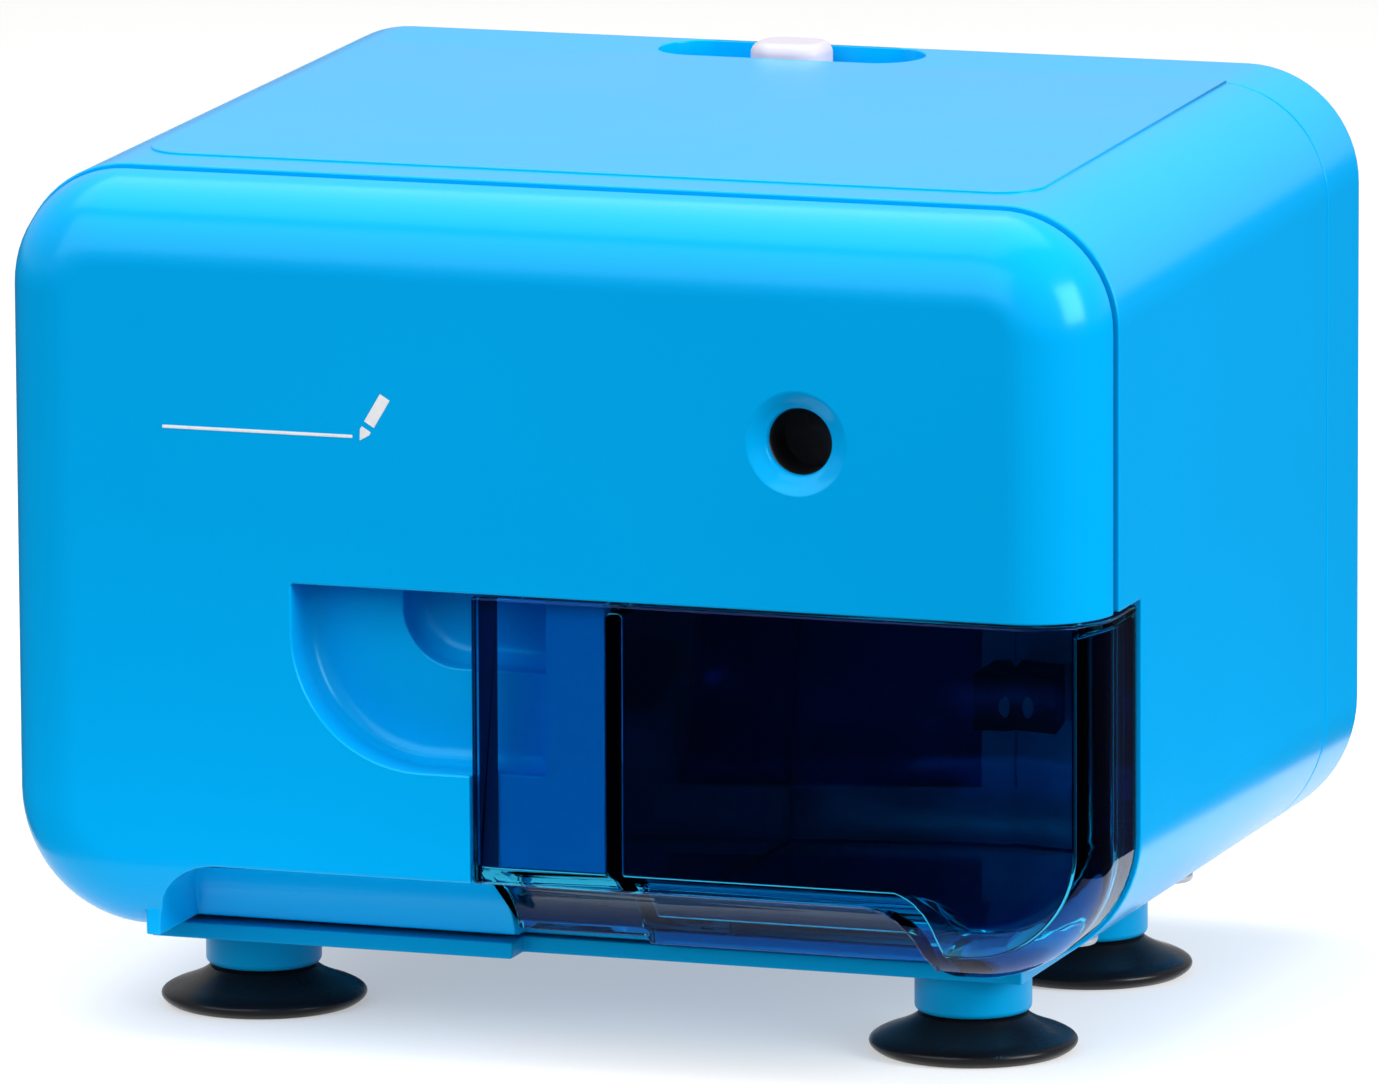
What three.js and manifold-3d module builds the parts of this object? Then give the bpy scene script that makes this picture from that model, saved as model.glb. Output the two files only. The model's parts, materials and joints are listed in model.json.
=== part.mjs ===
// Desktop electric pencil sharpener with a drawer for shavings, on four suction cups.
// Millimetres. +Z is up, the front faces -Y, and the origin is on the floor below the middle.
import * as THREE from "three";
import { mergeVertices } from "three/addons/utils/BufferGeometryUtils.js";
import Module from "manifold-3d";

// ---- Driving dimensions ----------------------------------------------------------------

const width = 155;
const depth = 124;
const bodyBottom = 14;
const bodyTop = 117.6;
const topRise = 3.5;
const topCorner = 16;
const bottomCorner = 19;
const wall = 2.5;
const panelDepth = 11.5;
const frontFillet = 11.4;
const rearCoverDepth = 16.5;
const rearFillet = 1.5;
const seamGap = 0.9;
const panelInset = 0.4;
const clearance = 0.3;
const runningGap = 0.5;

const lidHeight = 0.25;
const lidMargin = 13;
const lidFrontGap = 8;

const holeSetIn = 40.8;
const holeZ = 86.8;
const pencilBore = 4.45;
const dishRadius = 6.8;
const dishDepth = 1.1;

const openingTop = 64.2;
const flangeLeft = -9.3;
const binLeft = 9.2;
const dustWall = 3.4;
const binWall = 2;
const binTop = 62;
const wrapDepth = 21.4;

const gripLeft = -34.4;
const gripBottom = 39.6;
const gripCorner = 18;
const gripDepth = 7.5;
const innerGripLeft = -21.2;
const innerGripBottom = 52.6;
const innerGripCorner = 8;
const innerGripDepth = 12.5;
const gripRight = 0.5;
const gripRound = 2.4;

const coveLeftSetIn = 22.7;
const coveRightSetIn = 17.5;
const coveTop = 25;
const coveReach = 17.6;
const coveEndRun = 10;
const coveWall = 2;

const baseSetIn = 16.5;
const basePlate = 2.2;
const baseBottom = 11.5;
const lipReach = 16;
const lipRight = -9.2;
const lipStep = 5;
const footSetIn = 26.7;
const footSetBack = 35.9;
const footShift = -4.2;
const footRadius = 7.9;
const footBottom = 5.5;
const cupRadius = 14.05;
const cupRimHeight = 1.3;
const cupFlat = 12.6;
const cupHollow = 9.5;
const cupStem = 3;

const slotX = -2.9;
const slotHalf = 19.3;
const slotWidth = 12.4;
const slotSetBack = 7.8;
const slotDepth = 3.4;
const knobWidth = 11;
const knobDepth = 9.4;
const knobHeight = 4.4;
const knobCorner = 3.6;
const selectorTravel = 12.5;
const stopTravel = 1;

const gearModule = 1;
const motorTeeth = 12;
const largeTeeth = 40;
const smallTeeth = 14;
const driveTeeth = 44;
const ringTeeth = 36;
const cutterTeeth = 11;
const idlerDrop = 10.8;
const motorLift = 8;

const motorRadius = 21.5;
const motorLength = 48;
const chassisSetBack = 35;
const chassisPlate = 2.5;
const gearSpace = 12.5;
const coverPlate = 2;
const bracketSetBack = 19.5;
const bracketPlate = 2;
const carrierRim = 4.5;
const carrierSpan = 42;
const switchRoom = 13;
const cutterRadius = 6.5;
const cutterFlutes = 10;
const coneAngle = THREE.MathUtils.degToRad(11);
const shaftRadius = 3.5;
const stopRadius = 1.3;

// ---- Derived places --------------------------------------------------------------------

const frontY = -depth / 2;
const rearY = depth / 2;
const sideX = width / 2;
const seamY = frontY + panelDepth;
const rearSeamY = rearY - rearCoverDepth;
const middleZ = (bodyBottom + bodyTop) / 2;
const wrapBack = frontY + wrapDepth;
const coveBack = frontY + coveReach;
const slotY = rearY - slotSetBack;
const holeX = sideX - holeSetIn;
const coveLeft = coveLeftSetIn - sideX;
const coveRight = sideX - coveRightSetIn;
const baseHalfWidth = sideX - baseSetIn;
const footX = sideX - footSetIn;
const footY = rearY - footSetBack;
const chassisY = rearY - chassisSetBack;
const bracketY = frontY + bracketSetBack;
const binBack = chassisY - switchRoom;

// ---- Small helpers ---------------------------------------------------------------------

const wasm = await Module();
wasm.setup();

function solid(geometry) {
  const bare = geometry.index ? geometry.clone() : geometry;
  for (const name of Object.keys(bare.attributes)) {
    if (name !== "position") bare.deleteAttribute(name);
  }
  const merged = mergeVertices(bare, 1e-4);
  return new wasm.Manifold(
    new wasm.Mesh({
      numProp: 3,
      vertProperties: merged.attributes.position.array,
      triVerts: new Uint32Array(merged.index.array),
    }),
  );
}

function geometryOf(body) {
  const mesh = body.getMesh();
  const geometry = new THREE.BufferGeometry();
  geometry.setAttribute("position", new THREE.BufferAttribute(mesh.vertProperties, 3));
  geometry.setIndex(new THREE.BufferAttribute(mesh.triVerts, 1));
  const faceted = geometry.toNonIndexed();
  faceted.computeVertexNormals();
  return faceted;
}

const joined = (first, ...rest) => rest.reduce((sum, item) => sum.add(item), first);
const without = (first, ...rest) => rest.reduce((left, item) => left.subtract(item), first);

function box(x0, x1, y0, y1, z0, z1) {
  const geometry = new THREE.BoxGeometry(x1 - x0, y1 - y0, z1 - z0);
  geometry.translate((x0 + x1) / 2, (y0 + y1) / 2, (z0 + z1) / 2);
  return solid(geometry);
}

// An outline drawn in X and Z, extruded along Y from y0 to y1. The ends can be rounded by `round`.
function plateGeometry(shape, y0, y1, { round = 0, rounds = 3, curve = 5, steps = 1 } = {}) {
  const geometry = new THREE.ExtrudeGeometry(shape, {
    depth: y1 - y0 - 2 * round,
    steps,
    curveSegments: curve,
    bevelEnabled: round > 0,
    bevelThickness: round,
    bevelSize: round,
    bevelOffset: -round,
    bevelSegments: rounds,
  });
  geometry.rotateX(Math.PI / 2);
  geometry.translate(0, y1 - round, 0);
  return geometry;
}

const plate = (shape, y0, y1, options) => solid(plateGeometry(shape, y0, y1, options));

function rod(axis, radius, from, to, a, b, sides = 20) {
  const geometry = new THREE.CylinderGeometry(radius, radius, to - from, sides);
  const middle = (from + to) / 2;
  if (axis === "x") {
    geometry.rotateZ(Math.PI / 2);
    geometry.translate(middle, a, b);
  } else if (axis === "y") {
    geometry.translate(a, middle, b);
  } else {
    geometry.rotateX(Math.PI / 2);
    geometry.translate(a, b, middle);
  }
  return solid(geometry);
}

// A profile of [radius, height] points turned about the Z axis through x, y.
function turned(profile, x, y, sides = 24) {
  const points = profile.map(([radius, height]) => new THREE.Vector2(radius, height));
  const geometry = new THREE.LatheGeometry(points, sides);
  geometry.rotateX(Math.PI / 2);
  geometry.translate(x, y, 0);
  return solid(geometry);
}

// The same, about a Y axis through x and z, with the profile's heights along +Y.
function turnedY(profile, x, z, sides = 24) {
  const points = profile.map(([radius, height]) => new THREE.Vector2(radius, height));
  const geometry = new THREE.LatheGeometry(points, sides);
  geometry.translate(x, 0, z);
  return solid(geometry);
}

function roundedOutline(x0, x1, z0, z1, topRadius, bottomRadius = topRadius) {
  const shape = new THREE.Shape();
  shape.moveTo(x0 + bottomRadius, z0);
  shape.lineTo(x1 - bottomRadius, z0);
  shape.absarc(x1 - bottomRadius, z0 + bottomRadius, bottomRadius, -Math.PI / 2, 0);
  shape.lineTo(x1, z1 - topRadius);
  shape.absarc(x1 - topRadius, z1 - topRadius, topRadius, 0, Math.PI / 2);
  shape.lineTo(x0 + topRadius, z1);
  shape.absarc(x0 + topRadius, z1 - topRadius, topRadius, Math.PI / 2, Math.PI);
  shape.lineTo(x0, z0 + bottomRadius);
  shape.absarc(x0 + bottomRadius, z0 + bottomRadius, bottomRadius, Math.PI, 1.5 * Math.PI);
  return shape;
}

const pieces = new THREE.Group();

function piece(name, body, color, roughness = 0.4, metalness = 0) {
  const material = new THREE.MeshStandardMaterial({ color, roughness, metalness });
  const mesh = new THREE.Mesh(geometryOf(body), material);
  mesh.name = name;
  pieces.add(mesh);
  return body;
}

const BLUE = 0x00a3e8;
const SMOKE = 0x06203f;
const WHITE = 0xe7e4ed;
const RUBBER = 0x08080c;
const STEEL = 0xb4b8bc;
const BRASS = 0xc9a24a;
const ACETAL = 0xe9e6da;
const BLACK = 0x17181a;
const GREEN = 0x1f6b45;
const NAVY = 0x23386b;

// ---- Body block ------------------------------------------------------------------------

// The top of the body climbs evenly from the front to the rear.
function climb(geometry) {
  const position = geometry.attributes.position;
  for (let i = 0; i < position.count; i += 1) {
    if (position.getZ(i) > middleZ) {
      const share = (position.getY(i) - frontY) / depth;
      position.setZ(i, position.getZ(i) + topRise * share);
    }
  }
  return geometry;
}

// The body's block from y0 to y1, drawn in by `inset` all round.
function bodyBlock(inset, y0, y1, round = 0) {
  const outline = roundedOutline(
    inset - sideX,
    sideX - inset,
    bodyBottom + inset,
    bodyTop - inset,
    topCorner - inset,
    bottomCorner - inset,
  );
  return solid(climb(plateGeometry(outline, y0, y1, { round })));
}

// ---- Cove under the front --------------------------------------------------------------

// The finger cove is a quarter of an ellipse in section, with swept ends. `grow` adds a wall round it.
function coveBlock(grow) {
  const section = new THREE.Shape();
  const foot = bodyBottom - 1;
  section.moveTo(coveBack + grow, foot - 9);
  section.lineTo(coveBack + grow, foot);
  section.absellipse(frontY, foot, coveReach + grow, coveTop - foot + grow, 0, Math.PI / 2);
  section.lineTo(frontY - 9, coveTop + grow);
  section.lineTo(frontY - 9, foot - 9);
  const profile = new THREE.ExtrudeGeometry(section, {
    depth: width,
    bevelEnabled: false,
    curveSegments: 8,
  });
  profile.rotateX(Math.PI / 2);
  profile.rotateZ(Math.PI / 2);
  profile.translate(-sideX, 0, 0);
  const face = new THREE.Shape();
  face.moveTo(coveLeft - grow, foot - 9);
  face.lineTo(coveLeft - grow, foot);
  face.quadraticCurveTo(
    coveLeft - grow,
    coveTop + grow,
    coveLeft + coveEndRun,
    coveTop + grow,
  );
  face.lineTo(coveRight - 1.5 * coveEndRun, coveTop + grow);
  face.bezierCurveTo(
    coveRight - 0.8 * coveEndRun + grow,
    coveTop + grow,
    coveRight - 0.8 * coveEndRun + grow,
    bodyBottom + 0.6,
    coveRight + grow,
    bodyBottom - 0.4,
  );
  face.lineTo(coveRight + grow, foot - 9);
  return solid(profile).intersect(plate(face, frontY - 8, coveBack + 4));
}

const cove = coveBlock(0);
const coveShell = coveBlock(coveWall);
const coveRoom = coveBlock(coveWall + clearance);

// ---- Front panel -----------------------------------------------------------------------

function gripOutline(left, bottom, corner, grow, top) {
  const shape = new THREE.Shape();
  shape.moveTo(gripRight + grow, bottom - grow);
  shape.lineTo(gripRight + grow, top);
  shape.lineTo(left - grow, top);
  shape.lineTo(left - grow, bottom + corner);
  shape.absarc(left + corner, bottom + corner, corner + grow, Math.PI, 1.5 * Math.PI);
  return shape;
}

function gripPocket(left, bottom, corner, reach) {
  const outline = gripOutline(left, bottom, corner, 0, openingTop + 3 * gripRound);
  const pocket = plate(outline, frontY - 6, frontY + reach, { round: gripRound, rounds: 2 });
  return pocket.intersect(box(-width, width, frontY - 6, 0, 0, openingTop));
}

function gripWalls(left, bottom, corner, reach) {
  const outline = gripOutline(left, bottom, corner, wall, openingTop + wall);
  return plate(outline, frontY + panelInset, frontY + reach + wall);
}

function frontPanel() {
  const back = seamY - seamGap / 2;
  const skin = bodyBlock(panelInset, frontY, seamY + 40, frontFillet).intersect(
    box(-width, width, frontY, back, 0, 2 * bodyTop),
  );
  const hollow = bodyBlock(wall, frontY + wall, seamY + 40, frontFillet - wall);
  const rebateFront = frontY + dustWall + clearance;
  const rebateBack = rebateFront + wall;
  const opening = joined(
    box(binLeft - clearance, width, frontY - 1, seamY, 0, openingTop),
    box(flangeLeft, width, frontY - 1, rebateFront, 0, openingTop),
  );
  const rebate = box(
    flangeLeft - wall,
    binLeft - clearance,
    frontY + panelInset,
    rebateBack,
    bodyBottom + wall,
    openingTop + wall,
  );
  const coveWalls = coveShell
    .intersect(box(-sideX, flangeLeft, frontY, rearY, bodyBottom, bodyTop))
    .intersect(bodyBlock(panelInset, frontY, rearY, frontFillet));
  const dish = turnedY(
    [
      [0, frontY - 1],
      [dishRadius + 1, frontY - 1],
      [dishRadius, frontY],
      [pencilBore + 0.7, frontY + dishDepth],
      [0, frontY + dishDepth],
    ],
    holeX,
    holeZ,
    28,
  );
  const bore = rod("y", pencilBore, frontY - 1, seamY, holeX, holeZ, 28);
  return without(
    joined(
      skin.subtract(hollow),
      gripWalls(gripLeft, gripBottom, gripCorner, gripDepth),
      gripWalls(innerGripLeft, innerGripBottom, innerGripCorner, innerGripDepth),
      rebate,
      coveWalls,
    ),
    opening,
    coveRoom.intersect(box(flangeLeft, width, frontY - 1, rearY, 0, coveTop + wall)),
    gripPocket(gripLeft, gripBottom, gripCorner, gripDepth),
    gripPocket(innerGripLeft, innerGripBottom, innerGripCorner, innerGripDepth),
    cove,
    dish,
    bore,
  );
}

piece("front_panel", frontPanel(), BLUE, 0.25);

// ---- Main housing ----------------------------------------------------------------------

const openingHalf = sideX - 23.5;
const openingFront = coveBack + coveWall + clearance + 6;
const openingBack = rearSeamY - 4;
const screwX = sideX - 20;
const screwY = [footShift - 1.8, rearSeamY - 7.5];
const screwShank = 1.5;

function mainHousing() {
  const front = seamY + seamGap / 2;
  const tube = bodyBlock(0, front, rearSeamY).subtract(bodyBlock(wall, front - 1, rearSeamY + 1));
  const lidOutline = new THREE.Shape();
  const left = lidMargin - sideX;
  const right = sideX - lidMargin;
  const lidFront = seamY + lidFrontGap;
  const lidCorner = 6;
  lidOutline.moveTo(left, -rearSeamY);
  lidOutline.lineTo(right, -rearSeamY);
  lidOutline.lineTo(right, -lidFront - lidCorner);
  lidOutline.absarc(right - lidCorner, -lidFront - lidCorner, lidCorner, 0, Math.PI / 2);
  lidOutline.lineTo(left + lidCorner, -lidFront);
  lidOutline.absarc(left + lidCorner, -lidFront - lidCorner, lidCorner, Math.PI / 2, Math.PI);
  const lid = new THREE.ExtrudeGeometry(lidOutline, {
    depth: wall,
    bevelEnabled: false,
    curveSegments: 4,
  });
  lid.rotateX(Math.PI);
  lid.translate(0, 0, bodyTop + lidHeight);
  const drawer = box(
    flangeLeft - clearance,
    width,
    front - 1,
    wrapBack + clearance,
    0,
    openingTop + clearance,
  );
  const floorOpening = box(
    -openingHalf,
    openingHalf,
    openingFront,
    openingBack,
    0,
    bodyBottom + wall + 1,
  );
  const screwHoles = screwY.flatMap((y) =>
    [-screwX, screwX].map((x) => rod("z", screwShank + clearance, 0, 30, x, y, 12)),
  );
  return without(joined(tube, solid(climb(lid))), drawer, floorOpening, coveRoom, ...screwHoles);
}

piece("main_housing", mainHousing(), BLUE, 0.25);

// ---- Rear cover ------------------------------------------------------------------------

const stemWidth = 5;
const stemDepth = 2.4;
const stemY = slotY + 2.6;
const slotTop = bodyTop + topRise * ((slotY - frontY) / depth);
const slotFloor = slotTop - slotDepth;
const slotBedPlate = 2;
const grommetX = 31.5 - sideX;
const grommetZ = 34;
const grommetRadius = 6;
const grommetBore = 3;
const rearScrewX = sideX - 17.5;
const rearScrewZ = [34, 100];
const rearScrewHead = 3.2;
const rearScrewSink = 1.6;
const rearScrewLength = 12;
const grommetNeck = grommetRadius - 1.5;
const grommetSink = 1.4;
const grommetLength = 6;

function slotOutline(halfLength, halfWidth) {
  const shape = new THREE.Shape();
  const run = halfLength - halfWidth;
  shape.absarc(run, 0, halfWidth, -Math.PI / 2, Math.PI / 2);
  shape.absarc(-run, 0, halfWidth, Math.PI / 2, 1.5 * Math.PI);
  return shape;
}

// An outline drawn in X and Y, extruded upwards from z0 to z1.
function prism(shape, x, y, z0, z1, curveSegments = 6) {
  const geometry = new THREE.ExtrudeGeometry(shape, {
    depth: z1 - z0,
    bevelEnabled: false,
    curveSegments,
  });
  geometry.translate(x, y, z0);
  return solid(geometry);
}

function slotBlock(halfLength, halfWidth, y, z0, z1) {
  return prism(slotOutline(halfLength, halfWidth), slotX, y, z0, z1);
}

function rearCover() {
  const front = rearSeamY + clearance;
  const skin = bodyBlock(0, rearSeamY - 40, rearY, rearFillet).intersect(
    box(-width, width, front, rearY, 0, 2 * bodyTop),
  );
  const hollow = bodyBlock(wall, rearSeamY - 40, rearY - wall, Math.max(rearFillet - wall, 0));
  const bed = slotBlock(
    slotHalf + wall,
    slotWidth / 2 + 1,
    slotY,
    slotFloor - slotBedPlate,
    slotTop - 1,
  ).intersect(box(-width, width, front, rearY - 1, 0, 2 * bodyTop));
  const slot = slotBlock(slotHalf, slotWidth / 2, slotY, slotFloor, slotTop + 9);
  const stemSlot = box(
    slotX - selectorTravel - stemWidth / 2 - runningGap,
    slotX + selectorTravel + stemWidth / 2 + runningGap,
    stemY - stemDepth / 2 - runningGap,
    stemY + stemDepth / 2 + runningGap,
    slotFloor - 9,
    slotTop + 9,
  );
  const grommetSeat = rod(
    "y",
    grommetNeck + clearance,
    rearY - 9,
    rearY + 1,
    grommetX,
    grommetZ,
  );
  const grommetPocket = rod(
    "y",
    grommetRadius + 3,
    rearY - grommetSink,
    rearY + 1,
    grommetX,
    grommetZ,
  );
  const screws = rearScrewZ.flatMap((z) =>
    [-rearScrewX, rearScrewX].flatMap((x) => [
      rod("y", screwShank + clearance, rearY - 30, rearY + 1, x, z, 12),
      rod("y", rearScrewHead + clearance, rearY - rearScrewSink, rearY + 1, x, z, 16),
    ]),
  );
  return without(
    joined(skin.subtract(hollow), bed),
    slot,
    stemSlot,
    grommetSeat,
    grommetPocket,
    ...screws,
  );
}

piece("rear_cover", rearCover(), BLUE, 0.25);

piece(
  "cord_grommet",
  turnedY(
    [
      [grommetBore, rearY - grommetLength],
      [grommetNeck, rearY - grommetLength],
      [grommetNeck, rearY - grommetSink + clearance],
      [grommetRadius, rearY - grommetSink + clearance],
      [grommetRadius - 0.6, rearY],
      [grommetBore, rearY],
      [grommetBore, rearY - grommetLength],
    ],
    grommetX,
    grommetZ,
    20,
  ),
  RUBBER,
  0.7,
);

function screw(name, profileHead, length, place, alongY) {
  const profile = [
    [0, -length],
    [screwShank, -length],
    [screwShank, 0],
    [profileHead, 0],
    [profileHead, 0.8],
    [profileHead * 0.7, 1.4],
    [0, 1.4],
  ];
  const points = profile.map(([radius, height]) => new THREE.Vector2(radius, height));
  const geometry = new THREE.LatheGeometry(points, 12);
  if (!alongY) geometry.rotateX(-Math.PI / 2);
  geometry.translate(...place);
  piece(name, solid(geometry), STEEL, 0.35, 0.9);
}

let screwCount = 0;
for (const z of rearScrewZ) {
  for (const x of [-rearScrewX, rearScrewX]) {
    screwCount += 1;
    const seat = rearY - rearScrewSink + 0.1;
    screw(`rear_screw_${screwCount}`, rearScrewHead - 0.2, rearScrewLength, [x, seat, z], true);
  }
}

// ---- Base, feet and suction cups -------------------------------------------------------

const baseTop = baseBottom + basePlate;
const baseBack = openingBack + 12;
const feet = {
  front_left: [-footX, footShift - footY],
  front_right: [footX, footShift - footY],
  rear_left: [-footX, footShift + footY],
  rear_right: [footX, footShift + footY],
};
const socketRadius = cupStem + clearance;
const socketDepth = 5;
const railX = binLeft + 4.8;
const railWidth = 4;
const binFloor = bodyBottom + wall + runningGap;
const board = { width: 32, plate: 1.6, reach: 13.45, gap: 7, post: 4, postRadius: 2.5 };
const boardX = 27.5 - sideX;
const boardY = (openingFront + chassisY) / 2 - board.reach;
const boardLength = chassisY - board.gap - boardY;
const boardPosts = [board.post, board.width - board.post].flatMap((x) =>
  [board.post, boardLength - board.post].map((y) => [boardX + x, boardY + y]),
);
const postTop = 19;
const screwHeadRadius = 3;
const screwReach = binFloor - clearance - baseBottom;

function baseFrame() {
  const front = frontY + lipReach;
  let base = joined(
    box(-baseHalfWidth, lipRight, front, baseBack, baseBottom, baseTop),
    box(lipRight - 1, baseHalfWidth, front + lipStep, baseBack, baseBottom, baseTop),
    box(railX, railX + railWidth, front + 12, binBack, baseBottom, binFloor - clearance),
  );
  for (const [x, y] of Object.values(feet)) {
    base = base.add(rod("z", footRadius, footBottom, baseTop, x, y, 24));
  }
  for (const [x, y] of boardPosts) {
    base = base.add(rod("z", board.postRadius, baseBottom, postTop, x, y, 12));
  }
  const sockets = Object.values(feet).map(([x, y]) =>
    rod("z", socketRadius, footBottom - 1, footBottom + socketDepth, x, y, 14),
  );
  const screwHoles = screwY.flatMap((y) =>
    [-screwX, screwX].map((x) => rod("z", screwShank + clearance, 0, 30, x, y, 12)),
  );
  return without(base, ...sockets, ...screwHoles);
}

piece("base_plate", baseFrame(), BLUE, 0.35);

for (const y of screwY) {
  for (const x of [-screwX, screwX]) {
    const name = `base_screw_${screwY.indexOf(y) * 2 + (x < 0 ? 1 : 2)}`;
    screw(name, screwHeadRadius, screwReach, [x, y, baseBottom - clearance], false);
  }
}

for (const [corner, [x, y]] of Object.entries(feet)) {
  const shoulder = footBottom - clearance;
  const cup = turned(
    [
      [0, 2.6],
      [cupHollow * 0.55, 1.9],
      [cupHollow, 0],
      [cupFlat, 0],
      [cupRadius, cupRimHeight],
      [cupRadius - 0.4, cupRimHeight + 0.5],
      [footRadius + 2.4, footBottom - 1.6],
      [footRadius - 0.6, shoulder],
      [cupStem, shoulder],
      [cupStem, footBottom + socketDepth - clearance],
      [0, footBottom + socketDepth - clearance],
    ],
    x,
    y,
    24,
  );
  piece(`suction_cup_${corner}`, cup, RUBBER, 0.3);
}

// ---- Drawer for the shavings -----------------------------------------------------------

function dustBox() {
  const left = flangeLeft + clearance;
  const top = openingTop - clearance;
  const skin = bodyBlock(panelInset, frontY, seamY + 60, frontFillet)
    .subtract(bodyBlock(dustWall, frontY + dustWall, seamY + 60, frontFillet - dustWall))
    .intersect(box(left, width, frontY - 1, wrapBack, 0, top));
  const trim = box(-width, binLeft, seamY - seamGap, rearY, 0, bodyTop);
  const outside = wall + runningGap;
  const room = box(binLeft, width, frontY + 2, binBack, 0, binTop);
  const inner = box(
    binLeft + binWall,
    width,
    frontY + dustWall,
    binBack - binWall,
    0,
    2 * bodyTop,
  );
  const shell = bodyBlock(outside, frontY + 2, rearY)
    .intersect(room)
    .intersect(bodyBlock(panelInset, frontY, seamY + 120, frontFillet))
    .subtract(bodyBlock(outside + binWall, frontY, rearY).intersect(inner));
  const coveWalls = coveShell
    .intersect(box(left, width, frontY, rearY, bodyBottom, top))
    .intersect(bodyBlock(panelInset, frontY, rearY, frontFillet));
  const front = skin.subtract(trim);
  return without(joined(front, shell, coveWalls), cove);
}

piece("dust_box", dustBox(), SMOKE, 0.1);

// ---- Selector and pencil stop ----------------------------------------------------------

const arms = { bottom: 108.4, plate: 2, halfLength: 20, halfDepth: 4.4 };
const stemBottom = arms.bottom + arms.plate;
const knobBottom = slotFloor + runningGap;
const yokePinRadius = 1.2;
const yokePinY = slotY - 1.6;
const obliqueSlope = stopTravel / selectorTravel;

function knob() {
  const outline = roundedOutline(
    slotX - knobWidth / 2,
    slotX + knobWidth / 2,
    knobBottom,
    knobBottom + knobHeight,
    2.2,
    0.6,
  );
  const cap = plate(outline, slotY - knobDepth / 2, slotY + knobDepth / 2, {
    round: 0.5,
    rounds: 2,
    curve: 4,
  });
  const stem = box(
    slotX - stemWidth / 2,
    slotX + stemWidth / 2,
    stemY - stemDepth / 2,
    stemY + stemDepth / 2,
    stemBottom + clearance,
    knobBottom + 1,
  );
  const plan = roundedOutline(
    -knobWidth / 2,
    knobWidth / 2,
    -knobDepth / 2,
    knobDepth / 2,
    knobCorner,
  );
  const rounded = cap.intersect(prism(plan, slotX, slotY, knobBottom - 1, knobBottom + 9, 4));
  return rounded.add(stem);
}

piece("selector_knob", knob(), WHITE, 0.35);

function selectorSlide() {
  const bar = box(
    slotX - arms.halfLength,
    slotX + arms.halfLength,
    slotY - arms.halfDepth,
    slotY + arms.halfDepth,
    arms.bottom,
    stemBottom,
  );
  const track = new THREE.BoxGeometry(
    2 * selectorTravel + 8,
    2 * (yokePinRadius + runningGap),
    9,
  );
  track.rotateZ(-Math.atan(obliqueSlope));
  track.translate(slotX, yokePinY, arms.bottom);
  return bar.subtract(solid(track));
}

piece("selector_slide", selectorSlide(), ACETAL, 0.5);

const carrierBack = bracketY + carrierSpan;
const stopFront = carrierBack - 4.5;
const yokePlate = 2;
const yokeY = rearSeamY + 3.6;
const yokeTop = arms.bottom - 3;
const shaftBack = chassisY + chassisPlate + gearSpace + coverPlate + 0.8;

function pencilStop() {
  const rodBody = rod("y", stopRadius, stopFront, yokeY + 1, holeX, holeZ, 16);
  const arm = new THREE.Shape();
  const half = 3.5;
  arm.moveTo(holeX + half, holeZ - half);
  arm.lineTo(holeX + half, holeZ + half);
  arm.lineTo(slotX + 2 * half, yokeTop);
  arm.lineTo(slotX - half, yokeTop);
  arm.lineTo(slotX - half, yokeTop - 2 * half);
  arm.lineTo(slotX + half, yokeTop - 2 * half);
  arm.lineTo(holeX - half, holeZ - half);
  const shelf = box(slotX - half, slotX + half, yokeY, yokePinY + half, yokeTop - 2, yokeTop);
  const pin = rod("z", yokePinRadius, yokeTop - 1, stemBottom - 0.4, slotX, yokePinY, 14);
  return joined(rodBody, plate(arm, yokeY, yokeY + yokePlate), shelf, pin);
}

piece("pencil_stop", pencilStop(), STEEL, 0.4, 0.8);

// ---- Gear centres ----------------------------------------------------------------------

const motorPitch = (gearModule * motorTeeth) / 2;
const largePitch = (gearModule * largeTeeth) / 2;
const smallPitch = (gearModule * smallTeeth) / 2;
const drivePitch = (gearModule * driveTeeth) / 2;
const ringPitch = (gearModule * ringTeeth) / 2;
const cutterPitch = (gearModule * cutterTeeth) / 2;
const idlerSpan = smallPitch + drivePitch;
const idlerX = holeX - Math.sqrt(idlerSpan ** 2 - idlerDrop ** 2);
const idlerZ = holeZ - idlerDrop;
const motorSpan = motorPitch + largePitch;
const motorX = idlerX - Math.sqrt(motorSpan ** 2 - motorLift ** 2);
const motorZ = idlerZ + motorLift;

// ---- Chassis ---------------------------------------------------------------------------

const chassisBack = chassisY + chassisPlate;
const coverY = chassisBack + gearSpace;
const chassisBottom = baseTop + clearance;
const bracketBack = bracketY + bracketPlate;
const spacerSpan = 23.2;
const spacerDrop = 20.5;
const spacerRise = 21.5;
const frameSpacers = [-spacerDrop, spacerRise].flatMap((z) =>
  [-spacerSpan, spacerSpan].map((x) => [holeX + x, holeZ + z]),
);
const gearSpacers = [
  [motorX - 17, motorZ - 10],
  [holeX + 25.5, holeZ - 18],
  [idlerX - 4, idlerZ + 31],
];
const spacerRadius = 2.5;
const bushOuter = 5.5;
const bushInner = shaftRadius + 0.15;
const motorScrewOffset = 12;
const motorBoss = 6;
const sheet = {
  left: motorX - motorRadius - 8.5,
  right: holeX + 29.3,
  bottom: idlerZ - 24,
  top: idlerZ + 36,
  corner: 6,
};
const leg = { left: 9 - openingHalf, right: openingHalf - 4, top: sheet.bottom + 8, foot: 9 };
const window = { left: motorX + 3, right: holeX - 2.7, bottom: 24, top: 46 };

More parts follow.
